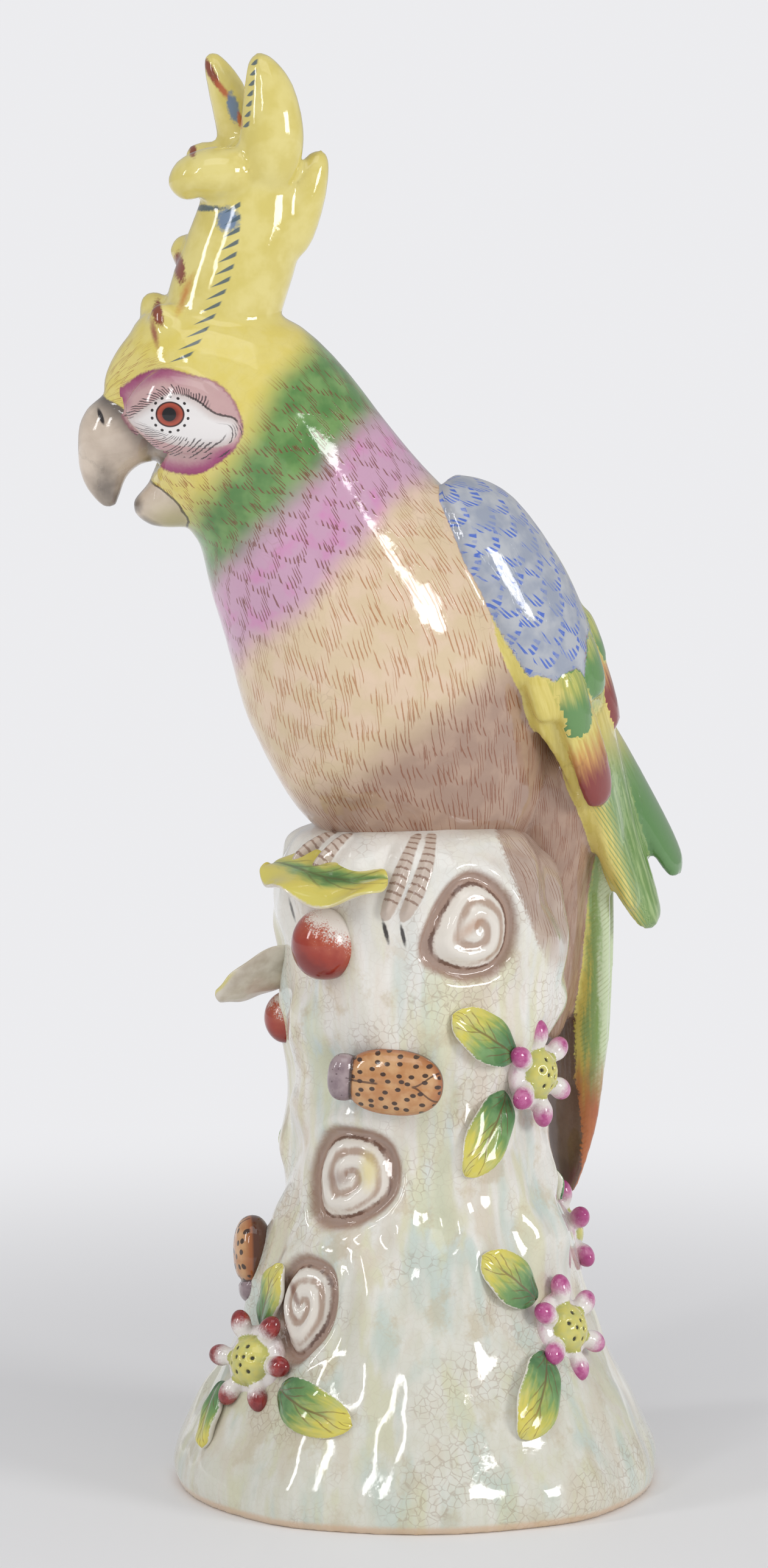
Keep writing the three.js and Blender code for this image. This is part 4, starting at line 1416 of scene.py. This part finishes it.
# Colours as painted
YELLOW = tint(232, 216, 128)
CREST_YELLOW = tint(222, 206, 116)
GREEN = tint(113, 149, 80)
TIP_GREEN = tint(104, 148, 88)
PINK = tint(208, 164, 190)
CREAM = tint(226, 203, 167)
BELLY_BROWN = tint(172, 142, 124)
STROKE_BROWN = tint(120, 66, 42)
STROKE_TAN = tint(182, 124, 78)
WINE = tint(128, 36, 38)
RUST = tint(192, 98, 62)
SLATE = tint(72, 96, 112)
SOFT_BLUE = tint(104, 132, 170)
COBALT = tint(62, 104, 204)
SHOULDER_BLUE = tint(158, 166, 182)
INK = tint(44, 38, 38)

# Where yellow, green and pink start on the neck, in millimetres along a line half way between up
# and forwards. The yellow's edge tilts by the slope about its middle, measured across that line.
NECK_YELLOW, NECK_GREEN, NECK_PINK = 200.5, 188.0, 169.5
NECK_SLOPE = 0.226
NECK_MIDDLE = 127.6
ROOT_TWO = math.sqrt(2)

# Slanting edges of paint, as X at a height, that height, and how far back the edge goes for each
# millimetre down
SHOULDER_FRONT = (1.4, 239.5, 0.407)
COVERT_FRONT = (21.9, 198, 0.524)
FLIGHT_MIDDLE = (44, 164.7, 0.298)
CREST_STROKES = (-36.7, 338, -0.133)
BARK_FEATHERS = (19.2, 157, 0.38)

# Blots of paint on the crest: middle and half sizes in millimetres, turn, softness and colour
CREST_BLOTS = [
    ((-43.4, 301.4), (2.5, 2.7), 0, 0.35, SOFT_BLUE), ((-49.6, 304.1), (4.8, 0.7), 0, 0.4, SLATE),
    ((-47.6, 335.4), (4, 0.95), -62, 0.3, WINE), ((-45, 331.4), (2.8, 0.7), -52, 0.6, RUST),
    ((-42.4, 327.2), (3.4, 1.2), -80, 0.3, SOFT_BLUE), ((-40.8, 324.2), (1.7, 0.6), -80, 0.4, RUST),
    ((-51.8, 317.4), (1.9, 0.9), -70, 0.4, WINE), ((-54.8, 290.4), (3.4, 1.4), -80, 0.3, WINE),
    ((-59.6, 280.2), (2.8, 1.2), -76, 0.3, WINE), ((-60.2, 275.2), (3, 0.6), -76, 0.9, tint(160, 92, 72)),
    ((-53.4, 284.2), (3.4, 0.7), -110, 1.1, tint(206, 140, 72)),
]


def slanting(z, x, height, back):
    """Where along X a slanting edge lies at height z."""
    return x + (height - z) * back


def body_colour(paint, place, drift, mottle, grain):
    """Bands of soft colour down the neck, with hanging rows of brush strokes."""
    x, _, z = paint.split(place)
    slope = (z - x) / ROOT_TWO + drift * 7
    rise = (x + z) / ROOT_TWO
    top = NECK_YELLOW + (rise - NECK_MIDDLE) * NECK_SLOPE
    yellow = paint.between(slope - top, -4.5, 4.5)
    green = paint.between(slope, NECK_GREEN - 4.5, NECK_GREEN + 4)
    pink = paint.between(slope, NECK_PINK - 3.5, NECK_PINK + 4)
    fold = 184 + x * 0.69
    cream = paint.between(z - fold + drift * 12, -9, 8)
    warm = paint.between(mottle, -0.12, 0.16)
    cream_paint = paint.mix(warm, CREAM, tint(233, 207, 179))
    brown_paint = paint.mix(warm, BELLY_BROWN, tint(184, 154, 134))
    pink_paint = paint.fade(mottle, 0, 0.22, PINK, tint(214, 148, 190))
    green_paint = paint.fade(mottle, -0.18, 0.18, tint(87, 134, 70), tint(123, 162, 94))
    yellow_paint = paint.mix(warm, YELLOW, tint(228, 210, 108))
    bands = ((cream, cream_paint), (pink, pink_paint), (green, green_paint), (yellow, yellow_paint))
    colour = paint.lay(brown_paint, *bands)
    cosine, sine, along = paint.noted("skin_round")
    hung = paint.vector(cosine, sine, along + mottle * 5)
    short = hung_strokes(
        paint, Round=hung, Arcs=23, Row=8, Sag=4, Length=2.6, Strokes=9, Thickness=0.3, Slant=-0.3, Fan=0.1,
    )
    long = hung_strokes(
        paint, Round=hung, Arcs=19, Row=11, Sag=6.4, Length=6, Strokes=11, Thickness=0.22, Slant=-0.2,
        Fan=0.3,
    )
    below = paint.between(slope, 172, 163)
    strokes = short * (1 - below) + long * below
    tone = paint.mix(yellow, STROKE_BROWN, tint(168, 108, 52))
    tone = paint.mix(cream * below, tone, STROKE_TAN)
    tone = paint.mix(1 - cream, tone, tint(140, 84, 56))
    bare_crown = paint.between(z + x * 0.9, 222, 206)
    strokes = strokes * paint.most(bare_crown, 1 - yellow)
    strokes = strokes * paint.between(grain, -0.3, 0, 0.56, 0.9)
    return colour, strokes, tone


def crest_colour(paint, colour, place, mottle, grain):
    """Deeper yellow lobes, rows of comma strokes down two edges, and blots of red, rust and blue."""
    x, _, z = paint.split(place)
    crest = paint.between(paint.attribute("on_crest") + mottle * 3, -1.5, 1.5)
    lobe = paint.fade(mottle, -0.15, 0.15, CREST_YELLOW, tint(232, 218, 138))
    colour = paint.mix(crest, colour, lobe)
    wander = grain * 0.9 + mottle * 0.6
    for *mark, mark_colour in CREST_BLOTS:
        colour = paint.mix(blot(paint, x, z, *mark, wander) * 0.92, colour, mark_colour)
    fallen = 303 - z
    front = -40.7 - fallen * fallen * 0.0107
    colour = comma_strokes(paint, colour, x, z, front, top=306.3, count=13, step=2.83, long=3.9, thick=0.5)
    edge = slanting(z, *CREST_STROKES)
    return comma_strokes(paint, colour, x, z, edge, top=338.6, count=7, step=2.36, long=1.3, thick=0.55)


# How far a stroke falls for each millimetre that it goes forwards
COMMA_SLOPE = 0.54


def comma_strokes(paint, colour, x, z, front, top, count, step, long, thick):
    """Tapering slate-blue strokes, one below the other, that sweep down and forwards from a line."""
    forward = front - x
    lane = (top - (z + forward * COMMA_SLOPE)) / step
    off = paint.off_lane(lane) * (step * 0.88)
    width = paint.between(forward, long * 1.15, 0.2) * thick
    mask = paint.between(off, width + 0.1, width - 0.14)
    mask = mask * (paint.between(forward, -0.5, 0.1) * paint.between(forward, long, long * 0.8))
    mask = mask * (paint.between(lane, 0, 0.02) * paint.between(lane, count, count - 0.02))
    return paint.mix(mask * 0.9, colour, SLATE)


def eye_colour(paint, colour, place, mottle, grain):
    """Bare skin in pink and magenta, a white lid with lashes, and a ringed red-brown eye."""
    x, _, z = paint.split(place)
    along, up = x - EYE_AT[0], z - EYE_AT[1]
    patch = paint.attribute("eye_patch") + grain * 0.9
    white = paint.attribute("eye_white") + grain * 0.5
    on_patch = paint.between(patch, -0.35, 0.4)
    upper = paint.between(up, 0, 3) * paint.between(along, 7, -3)
    lower = paint.between(up, -5.5, -9)
    margin = paint.between(patch, 4.2, 0.6)
    deep = paint.most(upper, lower) * margin
    skin = paint.mix(deep + mottle * 0.5, tint(206, 170, 168), tint(164, 72, 118))
    skin = paint.mix(paint.between(patch, 0.9, 0, 0, 0.7), skin, tint(140, 52, 90))
    colour = paint.mix(on_patch, colour, skin)
    lid = paint.fade(white, 2.4, 0, tint(238, 234, 232), tint(214, 200, 196))
    on_white = paint.between(white, -0.3, 0.3)
    colour = paint.mix(on_white, colour, lid)
    turn = paint.calculate("ARCTAN2", up + 1, along - 1.5)
    lane = turn * 11 + white * 0.8 + mottle * 3
    luck = paint.chance(paint.vector(paint.whole(lane), 4, 7))
    hair = paint.between(paint.off_lane(lane), 0.3, 0.14)
    brow = paint.between(white, -2.2 + luck, -1.9 + luck) * paint.between(white, 0.5, 0.1)
    brow = brow * (paint.between(up, -1.8, -0.6) * paint.between(along, 9.6, 8))
    crease_lane = turn * 8 - white * 1.4
    crease_luck = paint.chance(paint.vector(paint.whole(crease_lane), paint.whole(white / 1.25), 2))
    crease = paint.between(paint.off_lane(crease_lane), 0.24, 0.1)
    crease = crease * (paint.between(white, -2.9, -2.6) * paint.between(white, 2.4, 1.8))
    crease = crease * (paint.between(up, -1.6, -3.2) * paint.between(crease_luck, 0.25, 0.3))
    lashes = paint.most(hair * brow, crease)
    colour = paint.mix(lashes * on_patch * 0.88, colour, tint(62, 52, 56))
    lid_line = paint.between(abs(white + 0.05), 0.34, 0.12)
    lid_line = lid_line * (paint.between(along, 2, 5) * paint.between(up, -2.4, -1.4))
    colour = paint.mix(lid_line * 0.85, colour, INK)
    dot_turn = paint.calculate("ARCTAN2", up / DOT_RING[1], along / DOT_RING[0])
    dot_lane = paint.rest(dot_turn * (DOTS / (2 * math.pi))) - 0.5
    dot = paint.length(paint.vector(dot_lane * 1.85, (paint.oval(along, up, DOT_RING) - 1) * 4.8, 0))
    colour = paint.fade(dot, 0.44, 0.3, colour, INK)
    iris = paint.oval(along, up, IRIS)
    iris_paint = paint.fade(iris, 0.4, 0.8, tint(120, 44, 34), tint(176, 78, 56))
    iris_paint = paint.fade(iris, 0.84, 0.92, iris_paint, tint(60, 28, 26))
    colour = paint.fade(iris, 1.03, 0.97, colour, iris_paint)
    pupil = paint.length(paint.vector(along + 0.2, up, 0))
    eye = paint.between(pupil, PUPIL + 0.1, PUPIL - 0.1) * paint.attribute("beside")
    return paint.mix(eye, colour, tint(22, 20, 22))


# Soot on the beak, and its nostril: middle and half sizes in millimetres, turn and softness
BEAK_SOOT = [
    ((-71.4, 238.4), (5, 2.8), -74, 0.9), ((-70.6, 234.4), (2.8, 2), 0, 0.9),
    ((-65.6, 235.4), (3, 1.6), 76, 0.8), ((-60.6, 230.2), (5.4, 1), -32, 0.7),
]
NOSTRIL = ((-73, 256.2), (1.9, 0.55), -68, 0.3)


def beak_colour(paint, colour, place, mottle, _):
    """Horn-coloured beak, sooty where it leaves the face and at its tips."""
    x, _, z = paint.split(place)
    depth = paint.attribute("on_beak") + mottle * 1.6
    horn = paint.fade(mottle, -0.2, 0.2, tint(208, 191, 173), tint(224, 208, 190))
    above = paint.between(z, 240, 247)
    soot = paint.between(depth, 5.6, 0.4) * above
    underside = paint.between(z, 240, 230) * paint.between(x, -66, -56)
    horn = paint.mix(underside * 0.8, horn, tint(186, 178, 116))
    for smudge in BEAK_SOOT:
        soot = paint.most(soot, blot(paint, x, z, *smudge, mottle * 1.6) * 0.85)
    horn = paint.mix(soot * 0.85, horn, tint(74, 68, 66))
    horn = paint.mix(blot(paint, x, z, *NOSTRIL, 0), horn, INK)
    seam = paint.between(abs(depth), 0.4, 0.15) * paint.between(z, 243, 240)
    colour = paint.fade(depth, -0.25, 0.35, colour, horn)
    return paint.mix(seam * 0.8, colour, INK)


def wing_colour(paint, colour, _, mottle, grain):
    """Blue-grey shoulder with cobalt strokes, then yellow feathers with green and red tips."""
    across, along, _ = paint.noted("wing_place")
    near_x, _, near_z = paint.noted("near_side")
    green_tip, red_tip, _ = paint.noted("tip")
    streak = paint.cloud(paint.vector(across * 0.9, along * 0.09, 0), 1, 3)
    jag = grain * 0.8 + mottle * 0.8

    feather = paint.fade(streak, -0.2, 0.2, tint(230, 214, 124), tint(214, 196, 96))
    past = near_x - slanting(near_z, *FLIGHT_MIDDLE) + streak * 5
    outer = paint.between(past, -1.5, 2.6) * paint.between(near_z, 184, 168)
    flight = paint.mix(outer, feather, paint.fade(streak, -0.1, 0.15, GREEN, tint(160, 186, 122)))
    hatch = paint.between(paint.off_lane((near_z + near_x * 1.5) / 1.5), 0.24, 0.1)
    border = paint.between(past, -3.6, -1) * paint.between(past, 3.6, 1)
    hatch = hatch * border * paint.between(near_z, 176, 168)
    flight = paint.mix(hatch * 0.6, flight, tint(92, 144, 92))
    green_end = paint.between(green_tip + streak * 0.4, -0.3, 0.1)
    flight = paint.mix(green_end, flight, tint(98, 142, 84))
    red_end = red_tip + streak * 0.35
    flight = paint.mix(paint.between(red_end, -0.26, 0, 0, 0.7), flight, tint(206, 128, 74))
    flight = paint.fade(red_end, -0.08, 0.16, flight, tint(138, 56, 52))

    behind = near_x - slanting(near_z, *COVERT_FRONT) + streak * 12
    rear = paint.between(behind, 5, 13)
    leafy = paint.fade(streak, -0.1, 0.1, tint(184, 192, 102), tint(150, 170, 92))
    covert = paint.mix(rear * 0.8, feather, leafy)
    green_end = paint.between(green_tip + streak * 0.35, -0.26, 0.12)
    covert = paint.mix(green_end, covert, TIP_GREEN)

    shoulder = paint.fade(mottle, -0.16, 0.16, SHOULDER_BLUE, tint(188, 192, 198))
    rim = paint.between(near_x - slanting(near_z, *SHOULDER_FRONT), 3.6, 1.2)
    shoulder = paint.mix(rim * 0.75, shoulder, tint(128, 160, 214))
    fold = across * (2 * math.pi / 20 / 5.6)
    hung = paint.vector(
        paint.calculate("COSINE", fold), paint.calculate("SINE", fold), 200 - along,
    )
    dabs = hung_strokes(
        paint, Round=hung, Arcs=17, Row=10.6, Sag=3, Length=3, Strokes=6, Thickness=0.5, Slant=-0.35,
    )
    dabs = dabs * paint.between(mottle + grain * 0.3, -0.12, 0.06, 0.3, 0.9)
    shoulder = paint.mix(dabs, shoulder, COBALT)

    on_wing = paint.between(paint.attribute("on_wing") + jag, -0.3, 0.3)
    on_covert = paint.between(paint.attribute("on_covert") + jag, -0.3, 0.3)
    on_shoulder = paint.between(paint.attribute("on_shoulder") + jag, -0.3, 0.3)
    feathers = paint.lay(flight, (on_covert, covert), (on_shoulder, shoulder))
    return paint.mix(on_wing, colour, feathers)


def tail_colour(paint, colour, place, mottle, grain):
    """Brown inside, partly painted shade, with a yellow and green edge that reddens to the tip."""
    x, _, z = paint.split(place)
    facing = paint.noted("tail_round")[0]
    streak = paint.cloud(paint.vector(x * 0.8, z * 0.07, 3), 1, 3)
    edge = 38.6 + paint.between(z, 96, 82, 0, 1.6)
    past = x - edge + (grain * 2.2 + mottle * 2)
    # The inner face's brown, and the darker brown next to the painted edge, are partly its own paint and
    # partly painted shade.
    inside = paint.fade(mottle, -0.2, 0.2, tint(120, 92, 80), tint(138, 110, 96))
    inside = paint.mix(paint.between(past, -3, 0.2, 0, 0.7), inside, tint(98, 68, 56))
    painted = paint.fade(past + streak * 6, 1.2, 4, tint(226, 210, 108), tint(148, 178, 108))
    painted = paint.fade(past + streak * 4, 4.4, 6.6, painted, tint(206, 220, 180))
    hatch = paint.between(paint.off_lane((z - x * 0.8) / 1.3), 0.22, 0.1)
    hatch = hatch * paint.between(streak, -0.1, 0.15)
    painted = paint.mix(hatch * 0.35, painted, tint(140, 150, 70))
    red = paint.between(z + streak * 16, 104, 86)
    painted = paint.mix(red * 0.85, painted, tint(186, 84, 58))
    front = paint.between(facing, 0.25, -0.05)
    cover = front * paint.between(past, 0.35, -0.35)
    tail = paint.mix(cover, painted, inside)
    on_tail = paint.between(paint.attribute("on_tail") + grain * 1.4, -0.4, 0.4)
    return paint.mix(on_tail, colour, tail)


def decorate_bird(paint):
    """Body first, then each part laid over it where it stands out, and crackle under the strokes."""
    place = paint.millimetres()
    drift = paint.cloud(place, 0.05, 2)
    mottle = paint.cloud(place, 0.17, 3)
    grain = paint.cloud(place, 1.4, 2)
    colour, strokes, tone = body_colour(paint, place, drift, mottle, grain)
    crackle = paint.effect(CRACKLE, Place=place, Cell=3, Thickness=0.06, Patches=0.56)
    colour = paint.mix(crackle * 0.22, colour, tint(150, 110, 80))
    off_patch = paint.between(paint.attribute("eye_patch"), 0.2, -0.6)
    off_crest = paint.between(paint.attribute("on_crest"), 1, -1.5)
    strokes = strokes * (off_patch * off_crest)
    colour = paint.mix(strokes * 0.9, colour, tone)
    for lay_colour in (tail_colour, wing_colour, crest_colour, beak_colour, eye_colour):
        colour = lay_colour(paint, colour, place, mottle, grain)
    return colour, strokes


# The stump's paint

# Small marks on the side the viewer sees: middle and half sizes, turn, softness, colour and strength
STUMP_BLOTS = [
    ((-7.2, 137.2), (2.6, 0.5), -76, 0.4, INK, 0.95), ((-3.2, 136.4), (2.5, 0.45), -78, 0.4, INK, 0.95),
    ((-29.2, 139.8), (2.4, 0.3), -74, 0.5, INK, 0.8), ((12.6, 138.2), (3.4, 1.1), 40, 0.9, STROKE_TAN, 0.5),
    ((-17.6, 78.6), (2.6, 1.6), 30, 0.9, STROKE_BROWN, 0.5), ((-11.2, 80.4), (1.8, 3.6), 0, 0.9, YELLOW, 0.6),
    ((-28.6, 50.8), (0.7, 2.8), 20, 0.6, STROKE_BROWN, 0.7),
]


def decorate_stump(paint):
    """Pale streaks running down, painted shade towards the foot, crackle, shaded knots, striped toes and soft
    feather strokes.
    """
    place = paint.millimetres()
    x, y, z = paint.split(place)
    drawn = paint.vector(x, y, z * 0.13)
    streak = paint.cloud(drawn, 0.1, 3)
    thread = paint.cloud(drawn, 0.34, 3)
    other = paint.cloud(paint.scaled(drawn, -1.3), 0.085, 3)
    mottle = paint.cloud(place, 0.12, 3)
    grain = paint.cloud(place, 1.3, 2)
    colour = paint.lay(
        paint.fade(thread, -0.2, 0.2, tint(242, 239, 232), tint(230, 226, 212)),
        (paint.between(streak, -0.02, 0.14, 0, 0.6), tint(188, 212, 206)),
        (paint.between(other + thread * 0.3, -0.01, 0.14, 0, 0.6), tint(226, 222, 180)),
        (paint.between(streak + thread * 0.3, -0.04, -0.18, 0, 0.6), tint(222, 206, 184)),
        (paint.between(mottle + grain * 0.2, 0.04, 0.2, 0, 0.5), tint(204, 186, 152)),
    )
    # Painted shade: the bark's colour darkens towards the foot.
    low = paint.between(z + mottle * 60, 90, 30)
    colour = paint.mix(low * 0.34, colour, tint(196, 200, 178))
    top = paint.between(z + streak * 40, 122, 146)
    colour = paint.mix(top * 0.8, colour, tint(240, 237, 230))
    crackle = paint.effect(CRACKLE, Place=place, Cell=1.9, Thickness=0.1, Patches=0.48)
    colour = paint.mix(crackle * 0.34, colour, tint(142, 102, 70))

    away, _, curl = paint.noted("knot")
    away = away + (grain * 0.07 + mottle * 0.16)
    ring = paint.between(away, 0.78, 0.88) * paint.between(away, 1.22, 1.04)
    colour = paint.fade(away, 1.04, 0.9, colour, tint(236, 229, 218))
    colour = paint.mix(ring * 0.85, colour, tint(168, 134, 116))
    line = paint.between(abs(away - 0.86), 0.05, 0.02) * paint.between(thread, -0.12, 0.04, 0.15, 0.85)
    colour = paint.mix(line, colour, tint(104, 70, 54))
    shade = paint.between(curl + thread * 1.2, 0.4, 0.95) * paint.between(away, 0.84, 0.7)
    colour = paint.mix(shade * 0.72, colour, tint(164, 126, 100))

    feathered = paint.between(x - slanting(z, *BARK_FEATHERS) + grain * 2.2, -0.5, 0.8)
    feathered = feathered * paint.between(z + mottle * 16, 122, 136)
    soft_brown = paint.fade(mottle, -0.2, 0.2, tint(172, 142, 124), tint(192, 168, 150))
    colour = paint.mix(feathered * 0.85, colour, soft_brown)
    hairs = hung_strokes(
        paint, Round=place, Arcs=30, Row=9, Sag=3, Length=6, Strokes=8, Thickness=0.1, Slant=0.05, Fan=0.6,
    )
    hairs = hairs * feathered
    colour = paint.mix(hairs * 0.85, colour, tint(134, 84, 58))

    apart, _, to_claw = paint.noted("toe")
    toe = paint.between(apart + grain * 0.3, 0.8, 0.4) * paint.between(to_claw, 25, 24)
    stripe = paint.between(paint.off_lane(to_claw / 1.9 + grain * 0.4), 0.2, 0.08)
    stripe = stripe * paint.between(to_claw, 3.4, 4.4)
    skin = paint.mix(stripe * 0.7, tint(206, 190, 176), tint(126, 88, 66))
    colour = paint.mix(toe, colour, skin)

    nearer = paint.between(y, -3, -6)
    for *mark, mark_colour, strength in STUMP_BLOTS:
        cover = blot(paint, x, z, *mark, grain * 0.6)
        colour = paint.mix(cover * nearer * strength, colour, mark_colour)
    foot = paint.between(z + grain * 0.8, 2.6, 1.2)
    colour = paint.mix(foot * 0.7, colour, tint(220, 186, 152))
    return colour, paint.most(hairs, stripe * toe)


# The ornaments' paint


def decorate_leaf(paint):
    """Green at the stalk and yellow at the tip, with brown veins and a white lip."""
    place = paint.millimetres()
    mottle = paint.cloud(place, 0.3, 3)
    grain = paint.cloud(place, 1.5, 2)
    facing, across, along = paint.noted("round")
    share = paint.noted("reach")[0]
    brushed = paint.cloud(paint.vector(across * 6, along * 0.16, 5), 1, 3)
    tip = share + brushed * 0.5 + across * 0.1
    green = paint.fade(share, 0.1, 0.6, tint(58, 108, 66), tint(118, 160, 92))
    green = paint.mix(paint.between(mottle, -0.1, 0.2, 0, 0.5), green, tint(132, 172, 112))
    yellow = paint.fade(mottle, -0.1, 0.2, tint(222, 210, 96), tint(212, 206, 124))
    colour = paint.fade(tip, 0.36, 0.8, green, yellow)
    veins = paint.effect(LEAF_VEINS, Across=across, Along=share, Seed=3)
    colour = paint.mix(veins * 0.65, colour, tint(112, 66, 38))
    lip = paint.most(
        paint.between(facing + grain * 0.2, 0.16, 0.02),
        paint.between(abs(across) + grain * 0.12, 0.95, 0.99),
    )
    return paint.mix(lip, colour, tint(238, 235, 222)), veins


def decorate_canopy(paint):
    """Green along the middle of the blade, yellow margins, and a white underside."""
    place = paint.millimetres()
    mottle = paint.cloud(place, 0.25, 3)
    grain = paint.cloud(place, 1.3, 2)
    facing, across, along = paint.noted("round")
    share = paint.noted("reach")[0]
    brushed = paint.cloud(paint.vector(across * 5, along * 0.2, 8), 1, 3)
    margin = abs(across) + brushed * 0.5 + abs(share - 0.58) * 0.7
    green = paint.fade(margin, 0, 0.4, tint(70, 118, 68), tint(126, 164, 96))
    green = paint.mix(paint.between(mottle, 0, 0.2, 0, 0.6), green, tint(150, 184, 130))
    colour = paint.fade(margin, 0.22, 0.66, green, tint(220, 208, 104))
    veins = paint.effect(LEAF_VEINS, Across=across, Along=share, Seed=9)
    colour = paint.mix(veins * 0.5, colour, tint(96, 84, 50))
    below = paint.fade(mottle, -0.2, 0.2, tint(206, 194, 174), tint(232, 224, 208))
    rim = paint.between(share, 0.55, 0.75) * paint.between(facing, -0.5, -0.2)
    below = paint.mix(rim * 0.7, below, tint(222, 210, 110))
    under = paint.between(facing + grain * 0.25, 0.34, 0.12)
    return paint.mix(under, colour, below), veins


def decorate_fruit(paint):
    """Red-brown below, stippled away to white at the top and one side."""
    x, y, _ = paint.noted("own")
    place = paint.attribute("own", "Vector")
    mottle = paint.cloud(place, 0.35, 3)
    speck = paint.cloud(place, 2.6, 2)
    rise = y * 0.78 + x * 0.5 + mottle * 5
    stippled = rise + speck * 7
    red = paint.fade(rise, -3, 1, tint(136, 46, 40), tint(164, 56, 38))
    red = paint.mix(paint.between(rise, 0.6, 4.4, 0, 0.7), red, tint(196, 104, 76))
    bare = paint.between(stippled, 3.4, 6.2)
    return paint.mix(bare, red, tint(238, 230, 222)), 1 - bare


def flower_paint(petal, edge):
    """What paints a flower: yellow heart, dark pricked holes, white petal roots and coloured petals."""
    def decorate(paint):
        place = paint.attribute("own", "Vector")
        x, y, z = paint.split(place)
        mottle = paint.cloud(place, 0.5, 3)
        speck = paint.cloud(place, 2.2, 2)
        reach = paint.length(paint.vector(x, y, 0))
        ragged = reach + (mottle * 2.4 + speck * 1.8)
        tip = paint.fade(mottle, -0.1, 0.2, petal, edge)
        tip = paint.fade(ragged, 10.6, 12.8, tip, edge)
        colour = paint.fade(ragged, 7.2, 10.6, tint(240, 234, 230), tip)
        heart = paint.fade(mottle, -0.15, 0.2, tint(220, 210, 112), tint(204, 202, 122))
        heart = paint.mix(paint.between(reach, 4.4, 6.2, 0, 0.5), heart, tint(150, 160, 80))
        colour = paint.fade(reach + speck, 6.3, 5.9, colour, heart)
        holes = paint.attribute("pricked")
        colour = paint.fade(holes, 0.25, 0.6, colour, tint(58, 56, 30))
        beneath = paint.between(z, -1.4, -2.4)
        colour = paint.mix(beneath * 0.6, colour, tint(226, 214, 206))
        return colour, 0
    return decorate


PINK_FLOWER = flower_paint(tint(206, 120, 166), tint(180, 72, 134))
RED_FLOWER = flower_paint(tint(160, 56, 54), tint(126, 34, 38))


def decorate_beetle(paint):
    """Orange-brown wing cases with dark spots and a split, behind a grey-mauve head."""
    place = paint.attribute("own", "Vector")
    x, y, z = paint.split(place)
    share = paint.attribute("share")
    mottle = paint.cloud(place, 0.3, 3)
    grain = paint.cloud(place, 1.6, 2)
    cases = paint.fade(mottle, -0.2, 0.2, tint(194, 136, 86), tint(218, 172, 124))
    cases = paint.fade(z, 3.2, 0.8, cases, tint(170, 102, 58))
    spots = paint.cells(paint.vector(x * 0.8, y * 1.1, 0), 0.42, dimensions="2D", loose=0.6)
    spots = paint.between(spots, 0.26, 0.19) * paint.between(z, 0.6, 1.4)
    cases = paint.mix(spots * 0.92, cases, tint(46, 32, 30))
    parted = paint.between(share, 0.52, 0.96) * 3.4
    line = paint.between(abs(abs(y) - parted), 0.34, 0.16)
    drawn = paint.most(paint.between(share, -0.04, -0.1), paint.between(share, 0.5, 0.54))
    line = line * drawn * paint.between(z, 0.4, 1.2)
    cases = paint.mix(line * 0.8, cases, tint(70, 44, 36))
    head = paint.fade(mottle, -0.2, 0.2, tint(140, 120, 126), tint(172, 154, 156))
    marks = paint.between(paint.cells(paint.vector(x, y, 0), 0.7), 0.2, 0.12)
    head = paint.mix(marks * 0.6, head, tint(84, 62, 66))
    colour = paint.fade(share + grain * 0.04, -0.54, -0.58, cases, head)
    gap = paint.between(abs(share + 0.56), 0.04, 0.015)
    colour = paint.mix(gap * 0.8, colour, tint(62, 40, 34))
    foot = paint.between(z, 0.9, 0.1)
    return paint.mix(foot * 0.85, colour, tint(74, 46, 38)), spots


# Everything together


def build_bird():
    """Every skin of the bird fused as one, with notes on each vertex that say where its paint goes."""
    wings = lay_wing()
    for skins in wings.values():
        skins += [reflected(skin, f"far_{skin.name}") for skin in skins]
    groups = {
        "body": [lay_trunk(), lay_rump(), *lay_eyes()],
        "tail": lay_tail(),
        **wings,
        "beak": [*lay_beak(), lay_mouth_corner()],
        "crest": lay_crest(),
    }
    charts = {kind: Chart(skins) for kind, skins in groups.items()}
    bird = fuse("painted_bird", [skin for skins in groups.values() for skin in skins], BIRD_GRAIN * MM, 6)
    note_bird(bird, charts)
    return bird


make_camera()
make_stage()
make_softbox("right_window", 54, 14, 1.6, 0.46, 0.45, 7.8)
make_softbox("left_strip", -64, 25, 1.6, 0.16, 0.62, 3.4)
make_softbox("front_strip", -32, 27, 1.6, 0.12, 0.5, 2)
make_softbox("ceiling", 0, 62, 1.8, 1.3, 0.9, 4)

bird = build_bird()
stump = build_stump()
ornaments = build_ornaments()
dressed = [
    (glaze_material("painted feathers", decorate_bird), [bird]),
    (glaze_material("painted bark", decorate_stump), [stump]),
    (glaze_material("painted leaves", decorate_leaf), ornaments["leaf"]),
    (glaze_material("painted canopies", decorate_canopy), ornaments["canopy"]),
    (glaze_material("painted fruit", decorate_fruit), ornaments["fruit"]),
    (glaze_material("pink flowers", PINK_FLOWER), ornaments["pink"]),
    (glaze_material("red flowers", RED_FLOWER), ornaments["red"]),
    (glaze_material("painted beetles", decorate_beetle), ornaments["beetle"]),
]
for material, pieces in dressed:
    for piece in pieces:
        piece.data.materials.clear()
        piece.data.materials.append(material)
        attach(piece, "root")
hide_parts(CASTING)
